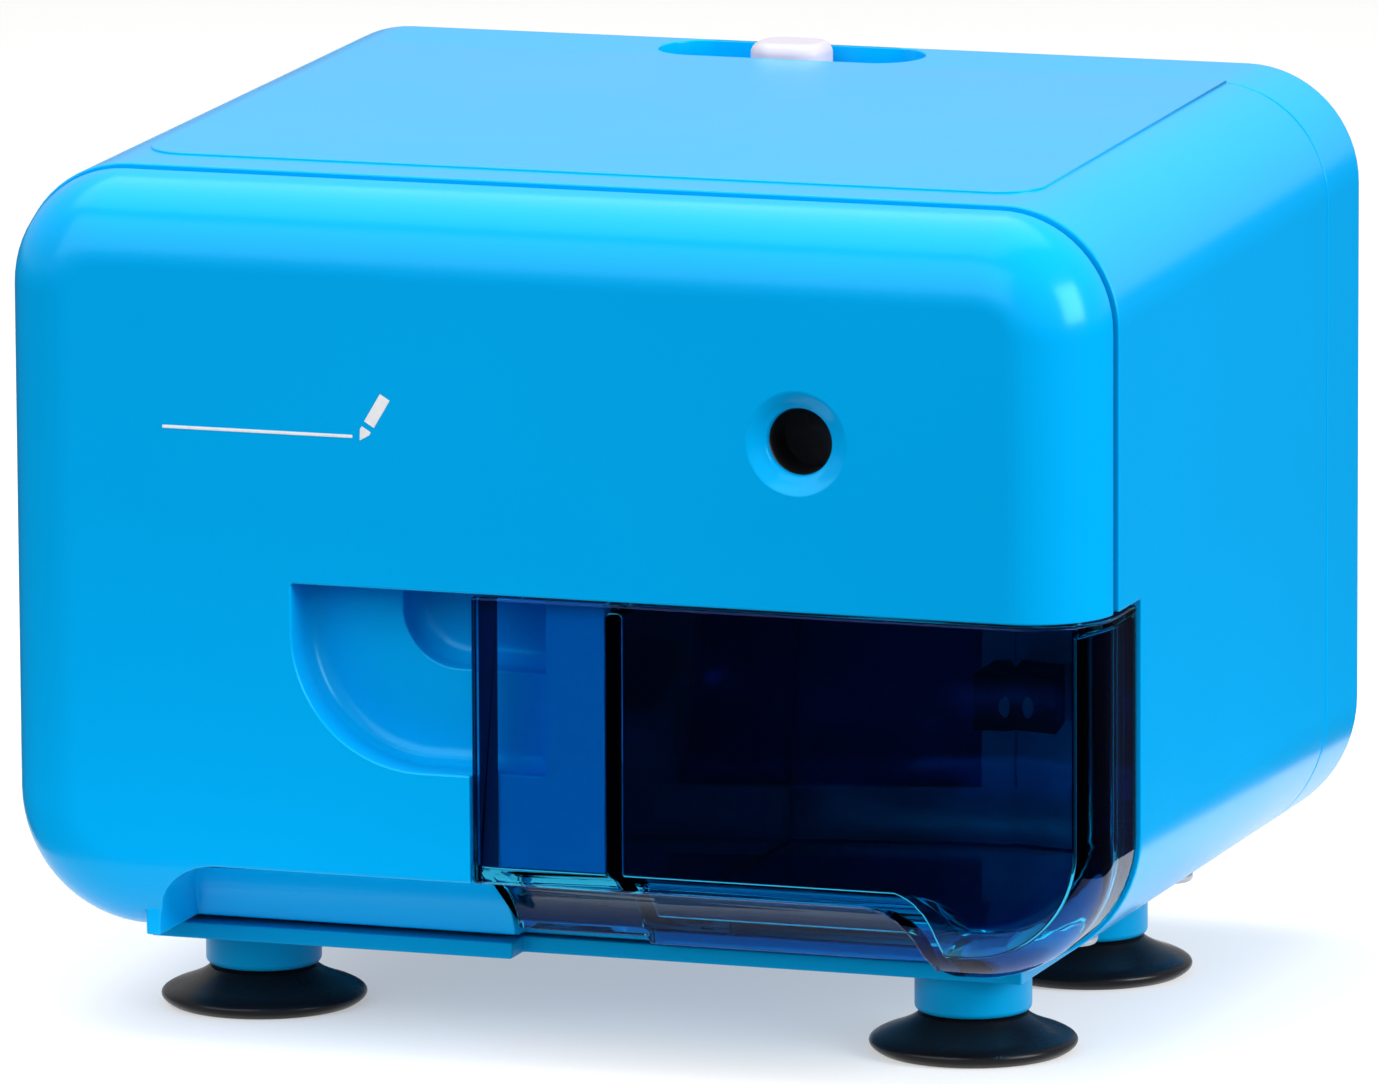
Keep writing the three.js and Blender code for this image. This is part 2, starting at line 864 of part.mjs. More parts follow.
function chassis() {
  const outline = roundedOutline(sheet.left, sheet.right, sheet.bottom, sheet.top, sheet.corner);
  const legs = box(leg.left, leg.right, chassisY, chassisBack, chassisBottom, leg.top);
  const flange = box(
    leg.left,
    leg.right,
    chassisY,
    chassisBack + leg.foot,
    chassisBottom,
    chassisBottom + chassisPlate,
  );
  const shaftHole = rod("y", bushOuter + 0.2, chassisY - 1, chassisBack + 1, holeX, holeZ, 24);
  const motorHole = rod("y", motorBoss + 0.4, chassisY - 1, chassisBack + 1, motorX, motorZ, 24);
  const opening = box(
    window.left,
    window.right,
    chassisY - 1,
    chassisBack + 1,
    window.bottom,
    window.top,
  );
  return without(
    joined(plate(outline, chassisY, chassisBack), legs, flange),
    shaftHole,
    motorHole,
    opening,
  );
}

piece("chassis_plate", chassis(), STEEL, 0.5, 0.8);

function gearCover() {
  const outline = roundedOutline(
    sheet.left + 8,
    sheet.right,
    sheet.bottom + 2,
    sheet.top - 1,
    sheet.corner,
  );
  const shaftHole = rod("y", shaftRadius + 0.4, coverY - 1, coverY + 9, holeX, holeZ, 24);
  const motorHole = rod("y", 2.6, coverY - 1, coverY + 9, motorX, motorZ, 16);
  return without(plate(outline, coverY, coverY + coverPlate), shaftHole, motorHole);
}

piece("gear_cover", gearCover(), STEEL, 0.5, 0.8);

const earInner = 3.4;
const earPlate = 1.5;
const leverY = seamY + 0.5;
const leverZ = holeZ + 7.7;
const leverPin = 1.2;
const bracketBore = ringPitch - cutterPitch - 3;
const earTop = holeZ + bracketBore + 0.6;
const bracketFoot = binTop + 1;

function frontBracket() {
  const sheet = roundedOutline(
    frameSpacers[0][0] - 4.5,
    frameSpacers[1][0] + 4.5,
    bracketFoot,
    frameSpacers[2][1] + 3.5,
    4,
  );
  let body = plate(sheet, bracketY, bracketBack);
  for (const side of [-1, 1]) {
    const inner = holeX + side * earInner;
    const outer = holeX + side * (earInner + earPlate);
    const [x0, x1] = side < 0 ? [outer, inner] : [inner, outer];
    body = body.add(box(x0, x1, leverY - 2.2, bracketY + 1, leverZ - 2.4, earTop));
  }
  const bore = rod("y", bracketBore, bracketY - 1, bracketBack + 1, holeX, holeZ, 28);
  const pinHole = rod("x", leverPin + 0.3, holeX - 9, holeX + 9, leverY, leverZ, 12);
  return without(body, bore, pinHole);
}

piece("front_bracket", frontBracket(), STEEL, 0.5, 0.8);

frameSpacers.forEach(([x, z], index) => {
  const body = rod(
    "y",
    spacerRadius,
    bracketBack + clearance,
    chassisY - clearance,
    x,
    z,
    12,
  );
  piece(`frame_spacer_${index + 1}`, body, STEEL, 0.3, 0.9);
});

gearSpacers.forEach(([x, z], index) => {
  const body = rod("y", spacerRadius, chassisBack + clearance, coverY - clearance, x, z, 12);
  piece(`gear_spacer_${index + 1}`, body, STEEL, 0.3, 0.9);
});

// ---- Gears -----------------------------------------------------------------------------

const backlash = 0.36;
const pressureSlope = Math.tan(THREE.MathUtils.degToRad(20));

// A spur gear's outline with straight-sided teeth; the first tooth points along `phase`.
function gearOutline(teeth, { addendum = 0.75, dedendum = 1.15, slack = backlash, phase = 0 } = {}) {
  const pitch = (gearModule * teeth) / 2;
  const radii = [pitch - dedendum * gearModule, pitch + addendum * gearModule];
  const halfAngle = (radius) =>
    ((Math.PI * gearModule) / 4 - (radius - pitch) * pressureSlope - slack / 2) / radius;
  const points = [];
  for (let tooth = 0; tooth < teeth; tooth += 1) {
    const centre = phase + (tooth * 2 * Math.PI) / teeth;
    const flank = radii.map((radius) => [radius, halfAngle(radius)]);
    const up = flank.map(([radius, angle]) => [radius, centre - angle]);
    const down = flank.map(([radius, angle]) => [radius, centre + angle]).reverse();
    for (const [radius, angle] of [...up, ...down]) {
      points.push(new THREE.Vector2(radius * Math.cos(angle), radius * Math.sin(angle)));
    }
  }
  return new THREE.Shape(points);
}

function gear(teeth, y0, y1, x, z, options) {
  const geometry = plateGeometry(gearOutline(teeth, options), y0, y1);
  geometry.translate(x, 0, z);
  return solid(geometry);
}

const towards = (x0, z0, x1, z1) => Math.atan2(z1 - z0, x1 - x0);
const gapPhase = (angle, teeth) => angle + Math.PI / teeth;

const idlerFromMotor = towards(motorX, motorZ, idlerX, idlerZ);
const driveFromIdler = towards(idlerX, idlerZ, holeX, holeZ);
const largeY = [chassisBack + 2.5, chassisBack + 6.5];
const smallY = [largeY[1], chassisBack + 11.5];
const driveY = [largeY[1] + 0.8, chassisBack + 11];

// ---- Motor -----------------------------------------------------------------------------

const motorBack = chassisY - clearance;
const motorFront = motorBack - motorLength;
const motorShaftRadius = 1.6;
const endCap = 7;

piece(
  "motor_can",
  turnedY(
    [
      [motorShaftRadius + 0.4, motorFront + endCap],
      [motorRadius, motorFront + endCap],
      [motorRadius, motorBack - 1],
      [motorRadius - 1, motorBack],
      [motorBoss, motorBack],
      [motorBoss, motorBack + 3],
      [motorShaftRadius + 0.4, motorBack + 3],
      [motorShaftRadius + 0.4, motorFront + endCap],
    ],
    motorX,
    motorZ,
    28,
  ),
  STEEL,
  0.35,
  0.9,
);

function motorEndCap() {
  const back = motorFront + endCap - clearance;
  const cap = turnedY(
    [
      [0, motorFront],
      [motorBoss, motorFront],
      [motorBoss + 1, motorFront + 3],
      [motorRadius - 1.5, motorFront + 3],
      [motorRadius - 0.5, motorFront + 4],
      [motorRadius - 0.5, back],
      [0, back],
    ],
    motorX,
    motorZ,
    32,
  );
  const tabs = [-1, 1].map((side) => {
    const x = motorX + side * 13;
    return box(x - 1.6, x + 1.6, motorFront - 3, motorFront + 4, motorZ - 0.4, motorZ + 0.4);
  });
  return joined(cap, ...tabs);
}

piece("motor_end_cap", motorEndCap(), BLACK, 0.5);

const motorShaft = rod(
  "y",
  motorShaftRadius,
  motorFront + endCap + 1,
  coverY + 1,
  motorX,
  motorZ,
  16,
);
piece("motor_shaft", motorShaft, STEEL, 0.25, 1);

const pinionBore = rod("y", motorShaftRadius + 0.25, 0, rearY, motorX, motorZ, 16);
const pinion = gear(motorTeeth, chassisBack + 1.5, largeY[1] + 0.5, motorX, motorZ, {
  phase: idlerFromMotor,
});
piece("motor_pinion", pinion.subtract(pinionBore), BRASS, 0.3, 1);

for (const side of [-1, 1]) {
  const name = side < 0 ? "motor_screw_1" : "motor_screw_2";
  const x = motorX;
  const z = motorZ + side * motorScrewOffset;
  piece(
    name,
    turnedY(
      [
        [0, chassisBack + clearance],
        [2.4, chassisBack + clearance],
        [2.4, chassisBack + 1.2],
        [1.6, chassisBack + 1.8],
        [0, chassisBack + 1.8],
      ],
      x,
      z,
      12,
    ),
    STEEL,
    0.3,
    0.9,
  );
}

// ---- Intermediate gear and drive gear --------------------------------------------------

const axleRadius = 2;
piece(
  "intermediate_axle",
  rod("y", axleRadius, chassisBack + clearance, coverY - clearance, idlerX, idlerZ, 16),
  STEEL,
  0.25,
  1,
);

const idlerBore = rod("y", axleRadius + 0.2, 0, rearY, idlerX, idlerZ, 16);
const idlerLarge = gear(largeTeeth, ...largeY, idlerX, idlerZ, {
  phase: gapPhase(idlerFromMotor + Math.PI, largeTeeth),
});
const idlerSmall = gear(smallTeeth, ...smallY, idlerX, idlerZ, { phase: driveFromIdler });
piece("intermediate_gear", idlerLarge.add(idlerSmall).subtract(idlerBore), ACETAL, 0.5);

const driveBore = rod("y", shaftRadius + 0.2, 0, rearY, holeX, holeZ, 20);
const driveHub = rod("y", 7, driveY[0] - 4, driveY[1], holeX, holeZ, 24);
const driveGear = gear(driveTeeth, ...driveY, holeX, holeZ, {
  phase: gapPhase(driveFromIdler + Math.PI, driveTeeth),
});
piece("drive_gear", driveGear.add(driveHub).subtract(driveBore), ACETAL, 0.5);

// ---- Cutter head -----------------------------------------------------------------------

// The cutter hangs below the pencil's axis, and its own axis leans in towards the pencil's tip.
const ringY = [bracketBack + clearance, bracketBack + 5.3];
const meshY = (ringY[0] + ringY[1]) / 2;
const planetReach = ringPitch - cutterPitch;
const frontDisc = [ringY[1] + 1.2, ringY[1] + 4.2];
const backDisc = [carrierBack - 3.5, carrierBack];
const carrierRadius = planetReach + carrierRim;
const hubRadius = 3.2;
const cutterAxle = 2;

// Turns a piece made on the line through the pencil's axis onto the cutter's leaning axis.
function onCutterAxis(geometry) {
  geometry.rotateX(coneAngle);
  geometry.translate(holeX, meshY, holeZ - planetReach);
  return solid(geometry);
}

function cutterRod(radius, from, to, sides = 16) {
  const geometry = new THREE.CylinderGeometry(radius, radius, to - from, sides);
  geometry.translate(0, (from + to) / 2, 0);
  return onCutterAxis(geometry);
}

const cutterFrom = frontDisc[1] - meshY + 1.6;
const cutterTo = backDisc[0] - 2.6 - meshY;

function helicalCutter() {
  const points = [];
  for (let flute = 0; flute < cutterFlutes; flute += 1) {
    const centre = (flute * 2 * Math.PI) / cutterFlutes;
    const step = Math.PI / cutterFlutes;
    for (const [radius, angle] of [
      [cutterRadius - 1, centre],
      [cutterRadius, centre + 0.8 * step],
      [cutterRadius, centre + 1.2 * step],
    ]) {
      points.push(new THREE.Vector2(radius * Math.cos(angle), radius * Math.sin(angle)));
    }
  }
  const geometry = plateGeometry(new THREE.Shape(points), cutterFrom, cutterTo, { steps: 6 });
  const position = geometry.attributes.position;
  const twist = THREE.MathUtils.degToRad(4);
  for (let i = 0; i < position.count; i += 1) {
    const angle = twist * (position.getY(i) - cutterFrom);
    const x = position.getX(i);
    const z = position.getZ(i);
    position.setX(i, x * Math.cos(angle) - z * Math.sin(angle));
    position.setZ(i, x * Math.sin(angle) + z * Math.cos(angle));
  }
  const hub = cutterRod(hubRadius, 2.4, cutterFrom + 1, 20);
  return onCutterAxis(geometry).add(hub).subtract(cutterRod(cutterAxle + 0.25, -9, 60));
}

piece("helical_cutter", helicalCutter(), STEEL, 0.25, 1);

const planetPhase = -Math.PI / 2;
const planet = plateGeometry(
  gearOutline(cutterTeeth, { phase: planetPhase, addendum: 0.6, dedendum: 1.2 }),
  -1.9,
  2.1,
);
piece(
  "cutter_pinion",
  onCutterAxis(planet).subtract(cutterRod(cutterAxle + 0.25, -9, 60)),
  STEEL,
  0.3,
  1,
);

piece("cutter_axle", cutterRod(cutterAxle, -2.2, backDisc[0] + 1.8 - meshY), STEEL, 0.2, 1);

function ringGear() {
  const rim = rod("y", ringPitch + 4, ...ringY, holeX, holeZ, 40);
  const inside = gear(ringTeeth, ringY[0] - 1, ringY[1] + 1, holeX, holeZ, {
    phase: planetPhase,
    addendum: 1.25,
    dedendum: 0.6,
    slack: -backlash,
  });
  return rim.subtract(inside);
}

piece("ring_gear", ringGear(), ACETAL, 0.5);

function carrier() {
  const front = rod("y", carrierRadius, ...frontDisc, holeX, holeZ, 28);
  const back = rod("y", carrierRadius, ...backDisc, holeX, holeZ, 28);
  const pencilWay = rod("y", pencilBore + 0.6, frontDisc[0] - 1, frontDisc[1] + 1, holeX, holeZ, 24);
  const shaftWay = rod("y", shaftRadius + 0.2, backDisc[0] + 1.5, carrierBack + 1, holeX, holeZ, 24);
  const stopWay = rod("y", stopRadius + 0.6, backDisc[0] - 1, carrierBack + 1, holeX, holeZ, 20);
  const posts = [-1, 1].map((side) => {
    const outline = new THREE.Shape();
    const start = Math.PI / 2 - side * 0.95;
    const inner = carrierRadius - 5;
    outline.absarc(0, 0, carrierRadius, start - 0.35, start + 0.35);
    outline.absarc(0, 0, inner, start + 0.35, start - 0.35, true);
    const geometry = plateGeometry(outline, frontDisc[0] + 1, carrierBack - 1);
    geometry.translate(holeX, 0, holeZ);
    return solid(geometry);
  });
  const hubWay = cutterRod(hubRadius + 0.5, 0, cutterFrom, 24);
  const axleWay = cutterRod(cutterAxle + 0.2, 0, 60, 20);
  return without(joined(front, back, ...posts), pencilWay, shaftWay, stopWay, hubWay, axleWay);
}

piece("cutter_carrier", carrier(), STEEL, 0.4, 0.9);

const carrierShaft = rod("y", shaftRadius, backDisc[0] + 1.7, shaftBack, holeX, holeZ, 20).subtract(
  rod("y", stopRadius + 0.5, backDisc[0] - 1, rearY, holeX, holeZ, 16),
);
piece("carrier_shaft", carrierShaft, STEEL, 0.25, 1);

piece(
  "rear_bush",
  turnedY(
    [
      [bushInner, chassisY - 2],
      [bushOuter + 1.6, chassisY - 2],
      [bushOuter + 1.6, chassisY - clearance],
      [bushOuter, chassisY - clearance],
      [bushOuter, chassisBack + 0.8],
      [bushInner, chassisBack + 0.8],
      [bushInner, chassisY - 2],
    ],
    holeX,
    holeZ,
    24,
  ),
  BRASS,
  0.35,
  1,
);

// ---- Pencil guide and switches ---------------------------------------------------------

const guideWall = 1.8;
const guideFront = frontY + wall + clearance;
piece(
  "pencil_guide",
  turnedY(
    [
      [pencilBore + 0.05, guideFront],
      [pencilBore + 4.5, guideFront],
      [pencilBore + 4.5, guideFront + 1.5],
      [pencilBore + guideWall, guideFront + 1.5],
      [pencilBore + guideWall, leverY - 3],
      [pencilBore + 0.05, leverY - 3],
      [pencilBore + 0.05, guideFront],
    ],
    holeX,
    holeZ,
    28,
  ),
  BLACK,
  0.4,
);

const leverPlate = 1.3;
const leverReach = 7.4;
const switchFront = leverY + leverPlate / 2 + 1.5;
const switchBase = earTop + 2.2;
const leverTop = switchBase + 4.4;

function switchLever() {
  const hub = rod("x", leverPin + 0.9, holeX - earInner + 0.3, holeX + earInner - 0.3, leverY, leverZ, 14);
  const reach = earInner + earPlate;
  const pin = rod("x", leverPin, holeX - reach, holeX + reach, leverY, leverZ, 12);
  const paddle = box(
    holeX - 2,
    holeX + 2,
    leverY - leverPlate / 2,
    leverY + leverPlate / 2,
    leverZ - leverReach,
    leverTop,
  );
  return joined(hub, pin, paddle);
}

piece("switch_lever", switchLever(), BLACK, 0.5);

function microSwitch() {
  const body = box(
    holeX - 6,
    holeX + 6,
    switchFront,
    bracketY - clearance,
    switchBase,
    switchBase + 8,
  );
  const button = rod("y", 1.1, switchFront - 1.1, switchFront + 1, holeX, switchBase + 2.4, 10);
  return body.add(button);
}

piece("micro_switch", microSwitch(), BLACK, 0.5);

const interlockX = holeX + 5.3;
const interlockZ = 38;
const plungerRadius = 1.5;
const plungerTravel = 1.5;
const plungerFront = binBack + clearance;
const interlockFront = plungerFront + 3.2;

function interlock() {
  const body = box(
    interlockX - 6,
    interlockX + 6,
    interlockFront,
    chassisY - clearance,
    interlockZ - 4,
    interlockZ + 4,
  );
  const bore = rod(
    "y",
    plungerRadius + 0.3,
    interlockFront - 1,
    interlockFront + 6.5,
    interlockX,
    interlockZ,
    12,
  );
  return body.subtract(bore);
}

piece("interlock_switch", interlock(), BLACK, 0.5);
piece(
  "interlock_plunger",
  rod("y", plungerRadius, plungerFront, interlockFront + 6.5 - plungerTravel - 0.4, interlockX, interlockZ, 14),
  ACETAL,
  0.5,
);

// ---- Circuit board ---------------------------------------------------------------------

const boardBottom = postTop + clearance;
const boardTop = boardBottom + board.plate;
const partsBottom = boardTop + clearance;
const boardMiddle = boardY + boardLength / 2;
const capacitor = { radius: 5, length: 16, setIn: 10 };
const terminal = { setIn: 20, width: 9, length: 24, height: 9.1 };
piece(
  "control_board",
  box(boardX, boardX + board.width, boardY, boardY + boardLength, boardBottom, boardTop),
  GREEN,
  0.6,
);
piece(
  "filter_capacitor",
  rod(
    "y",
    capacitor.radius,
    boardMiddle - 1 - capacitor.length / 2,
    boardMiddle - 1 + capacitor.length / 2,
    boardX + capacitor.setIn,
    partsBottom + capacitor.radius,
    20,
  ),
  NAVY,
  0.4,
);
piece(
  "terminal_block",
  box(
    boardX + terminal.setIn,
    boardX + terminal.setIn + terminal.width,
    boardMiddle - 1 - terminal.length / 2,
    boardMiddle - 1 + terminal.length / 2,
    partsBottom,
    partsBottom + terminal.height,
  ),
  GREEN,
  0.5,
);

export default pieces;
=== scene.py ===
# %% [markdown]
# # A desktop pencil sharpener, finished in Blender
# The mechanism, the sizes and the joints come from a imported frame, and this lesson builds the
# visible shells round it. It starts by loading the frame: every later place is read from the
# frame's boxes.

import json
import math

import bmesh
import bpy
from mathutils import Matrix, Vector


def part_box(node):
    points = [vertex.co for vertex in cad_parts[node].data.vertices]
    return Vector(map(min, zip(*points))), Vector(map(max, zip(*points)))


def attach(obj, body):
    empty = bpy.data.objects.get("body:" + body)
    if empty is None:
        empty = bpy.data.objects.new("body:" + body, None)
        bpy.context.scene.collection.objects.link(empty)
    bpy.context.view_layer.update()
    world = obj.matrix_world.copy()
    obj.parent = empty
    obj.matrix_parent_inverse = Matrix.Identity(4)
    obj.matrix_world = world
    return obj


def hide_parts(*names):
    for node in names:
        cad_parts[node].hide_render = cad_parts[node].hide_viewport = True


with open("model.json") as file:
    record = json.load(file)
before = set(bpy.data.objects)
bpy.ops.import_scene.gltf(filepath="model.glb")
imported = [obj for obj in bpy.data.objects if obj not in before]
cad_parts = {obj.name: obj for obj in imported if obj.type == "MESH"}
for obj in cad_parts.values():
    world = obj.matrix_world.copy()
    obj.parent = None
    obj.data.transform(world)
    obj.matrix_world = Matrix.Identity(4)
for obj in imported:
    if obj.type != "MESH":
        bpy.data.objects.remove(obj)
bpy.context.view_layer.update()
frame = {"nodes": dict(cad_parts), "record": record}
MM = 0.001
scene = bpy.context.scene

# %% [markdown]
# The shells share one section: a box with large round corners whose top climbs a little to the
# rear. Its places are read from the frame, and only radii and wall thicknesses, which a box can't
# tell, are written here.

# %% Places and sizes of the casing
panel_low, panel_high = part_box("front_panel")
housing_low, housing_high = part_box("main_housing")
cover_low, cover_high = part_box("rear_cover")
drawer_low, drawer_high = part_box("dust_box")
base_low, base_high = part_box("base_plate")
guide_low, guide_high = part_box("pencil_guide")
knob_low, knob_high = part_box("selector_knob")

HALF_WIDTH = housing_high.x
FRONT_Y = panel_low.y
REAR_Y = cover_high.y
SEAM_Y = housing_low.y
REAR_SEAM_Y = housing_high.y
BOTTOM_Z = housing_low.z
DEPTH = REAR_Y - FRONT_Y
CLIMB = 3.5 * MM
LID_HEIGHT = 0.25 * MM
TOP_Z = housing_high.z - LID_HEIGHT - CLIMB * (REAR_SEAM_Y - FRONT_Y) / DEPTH
MIDDLE_Z = (BOTTOM_Z + TOP_Z) / 2
TOP_CORNER = 16 * MM
BOTTOM_CORNER = 19 * MM
WALL = 2.5 * MM
PANEL_INSET = HALF_WIDTH - panel_high.x
FRONT_FILLET = 11.4 * MM
REAR_FILLET = 1.5 * MM
SEAM_GAP = 0.9 * MM
GAP = 0.3 * MM
SCREWS = (1, 2, 3, 4)
HOLE_X = (guide_low.x + guide_high.x) / 2
HOLE_Z = (guide_low.z + guide_high.z) / 2
OPENING_TOP = drawer_high.z + GAP
FLANGE_LEFT = drawer_low.x - GAP
WRAP_BACK = FRONT_Y + 21.4 * MM
COVE_LEFT = -54.8 * MM
COVE_TOP = 25 * MM
COVE_FOOT = BOTTOM_Z - 1 * MM
COVE_REACH = 17.6 * MM
print("casing top at the front, mm:", round(TOP_Z / MM, 2))

# %% [markdown]
# The camera stands well back with a long lens, as a product photographer's does, so that the
# sides stay nearly parallel. It looks from the front right and a little above.

# %% Camera
AZIMUTH = math.radians(19.155)
ELEVATION = math.radians(10.423)
ROLL = math.radians(-0.321)
AIM = Vector((0, -4.3 * MM, 58.1 * MM))
DISTANCE = 1.9375
LENS = 371.6
SENSOR = 36
SHIFT_X, SHIFT_Y = 0.00903, 0.01899

toward_camera = Vector(
    (
        math.sin(AZIMUTH) * math.cos(ELEVATION),
        -math.cos(AZIMUTH) * math.cos(ELEVATION),
        math.sin(ELEVATION),
    )
)
camera_data = bpy.data.cameras.new("camera")
camera_data.lens = LENS
camera_data.sensor_width = SENSOR
camera_data.shift_x = SHIFT_X
camera_data.shift_y = SHIFT_Y
camera = bpy.data.objects.new("camera", camera_data)
scene.collection.objects.link(camera)
turn = (-toward_camera).to_track_quat("-Z", "Y").to_matrix().to_4x4()
camera.matrix_world = (
    Matrix.Translation(AIM + toward_camera * DISTANCE) @ turn @ Matrix.Rotation(ROLL, 4, "Z")
)
scene.camera = camera
print("camera at", [round(v, 3) for v in camera.location])

# %% [markdown]
# The studio is a white floor, a pale sky and three large soft panels: one above, one in front at
# the left and one at the right. The floor is only a wedge that follows the view, and round it is
# dark, so that the glossy front and side mirror something dark and keep their full colour.

# %% Floor and soft lights
BELOW, HORIZON, OVERHEAD = 0.03, 0.46, 0.60
HORIZON_STOP, OVERHEAD_STOP = 0.04, 0.7
NEAR, FAR = 0.095, 3.2
NEAR_HALF, FAR_HALF = 0.115, 0.32
FLOOR_STEPS = 24
PANELS = {
    # place, aim, width, height in metres, and power in watts
    "light_top": ((-0.15, 0.1, 0.9), (0, 0, 0.1), 1.0, 0.9, 6),
    "light_front": ((-0.45, -1.0, 0.75), (0, 0, 0.06), 1.4, 0.9, 10),
    "light_right": ((1.1, -0.25, 0.5), (0, 0, 0.06), 0.6, 0.6, 14),
}


def surround(low, high):
    """A world that grows from low at the horizon to high overhead."""
    world = bpy.data.worlds.new("studio")
    world.use_nodes = True
    nodes, links = world.node_tree.nodes, world.node_tree.links
    place = nodes.new("ShaderNodeTexCoord")
    split = nodes.new("ShaderNodeSeparateXYZ")
    ramp = nodes.new("ShaderNodeValToRGB")
    for position, level in ((HORIZON_STOP, low), (OVERHEAD_STOP, high)):
        stop = ramp.color_ramp.elements.new(position)
        stop.color = (level, level, level, 1)
    ramp.color_ramp.elements[0].color = (BELOW, BELOW, BELOW, 1)
    ramp.color_ramp.elements[-1].color = (high, high, high, 1)
    links.new(place.outputs["Generated"], split.inputs["Vector"])
    links.new(split.outputs["Z"], ramp.inputs["Fac"])
    links.new(ramp.outputs["Color"], nodes["Background"].inputs["Strength"])
    nodes["Background"].inputs["Color"].default_value = (1, 1, 1, 1)
    scene.world = world


def soft_panel(name, place, aim, width, height, power):
    data = bpy.data.lights.new(name, "AREA")
    data.shape = "RECTANGLE"
    data.size = width
    data.size_y = height
    data.energy = power
    light = bpy.data.objects.new(name, data)
    scene.collection.objects.link(light)
    direction = Vector(aim) - Vector(place)
    light.location = place
    light.rotation_euler = direction.to_track_quat("-Z", "Y").to_euler()


surround(HORIZON, OVERHEAD)
for name, panel in PANELS.items():
    soft_panel(name, *panel)

floor_mesh = bpy.data.meshes.new("floor")
bm = bmesh.new()
bmesh.ops.create_grid(bm, x_segments=1, y_segments=FLOOR_STEPS, size=1.0)
ahead = Vector((-math.sin(AZIMUTH), math.cos(AZIMUTH), 0))
aside = Vector((math.cos(AZIMUTH), math.sin(AZIMUTH), 0))
for vert in bm.verts:
    share = (vert.co.y + 1) / 2
    half = NEAR_HALF + (FAR_HALF - NEAR_HALF) * share
    vert.co = ahead * (FAR * share - NEAR * (1 - share)) + aside * vert.co.x * half
bm.to_mesh(floor_mesh)
bm.free()
floor = bpy.data.objects.new("floor", floor_mesh)
scene.collection.objects.link(floor)
scene.view_settings.view_transform = "Standard"

# %% [markdown]
# ## Finishes
# Each finish is a small node tree on the Principled shader. A helper makes the shader and a slow
# and a fine noise in Object coordinates; the finish then says how much of each goes into colour,
# roughness and bump. Moulded plastic is never perfectly even: it has a faint orange peel and slow
# gloss changes.

# %% Helper that starts a finish
NOISE_LOW, NOISE_HIGH = 0.3, 0.7


def shader_of(name, color, roughness, metallic=0.0, **sockets):
    material = bpy.data.materials.new(name)
    material.use_nodes = True
    shader = material.node_tree.nodes["Principled BSDF"]
    shader.inputs["Base Color"].default_value = (*color, 1)
    shader.inputs["Roughness"].default_value = roughness
    shader.inputs["Metallic"].default_value = metallic
    for socket, value in sockets.items():
        shader.inputs[socket.replace("_", " ")].default_value = value
    return material, shader


def noise_of(material, scale, detail=3.0, stretch=(1, 1, 1)):
    nodes, links = material.node_tree.nodes, material.node_tree.links
    place = nodes.new("ShaderNodeTexCoord")
    mapping = nodes.new("ShaderNodeMapping")
    mapping.inputs["Scale"].default_value = stretch
    noise = nodes.new("ShaderNodeTexNoise")
    noise.inputs["Scale"].default_value = scale
    noise.inputs["Detail"].default_value = detail
    links.new(place.outputs["Object"], mapping.inputs["Vector"])
    links.new(mapping.outputs["Vector"], noise.inputs["Vector"])
    return noise.outputs["Fac"]


def vary_roughness(material, shader, factor, low, high):
    nodes, links = material.node_tree.nodes, material.node_tree.links
    span = nodes.new("ShaderNodeMapRange")
    span.inputs["From Min"].default_value = NOISE_LOW
    span.inputs["From Max"].default_value = NOISE_HIGH
    span.inputs["To Min"].default_value = low
    span.inputs["To Max"].default_value = high
    links.new(factor, span.inputs["Value"])
    links.new(span.outputs["Result"], shader.inputs["Roughness"])


def vary_color(material, shader, factor, first, second):
    nodes, links = material.node_tree.nodes, material.node_tree.links
    ramp = nodes.new("ShaderNodeValToRGB")
    ramp.color_ramp.elements[0].position = NOISE_LOW
    ramp.color_ramp.elements[1].position = NOISE_HIGH
    ramp.color_ramp.elements[0].color = (*first, 1)
    ramp.color_ramp.elements[1].color = (*second, 1)
    links.new(factor, ramp.inputs["Fac"])
    links.new(ramp.outputs["Color"], shader.inputs["Base Color"])


def add_bump(material, shader, factor, strength, distance):
    nodes, links = material.node_tree.nodes, material.node_tree.links
    bump = nodes.new("ShaderNodeBump")
    bump.inputs["Strength"].default_value = strength
    bump.inputs["Distance"].default_value = distance
    links.new(factor, bump.inputs["Height"])
    links.new(bump.outputs["Normal"], shader.inputs["Normal"])


# %% [markdown]
# Glossy moulded plastic: a slow noise shifts the blue by a few per cent and the gloss a little,
# and a finer one gives the orange peel. Pores are far smaller than the wall, so the bump stays
# under 0.05 mm.

# %% Moulded plastics


def moulded(name, color, roughness, peel=0.01 * MM, spread=0.05, **sockets):
    material, shader = shader_of(name, color, roughness, **sockets)
    darker = tuple(channel * (1 - spread) for channel in color)
    lighter = tuple(min(1.0, channel * (1 + spread)) for channel in color)
    gloss = (roughness * 0.92, roughness * 1.1)
    vary_color(material, shader, noise_of(material, 22, 2), darker, lighter)
    vary_roughness(material, shader, noise_of(material, 60, 3), *gloss)
    add_bump(material, shader, noise_of(material, 1400, 1), 0.12, peel)
    return material


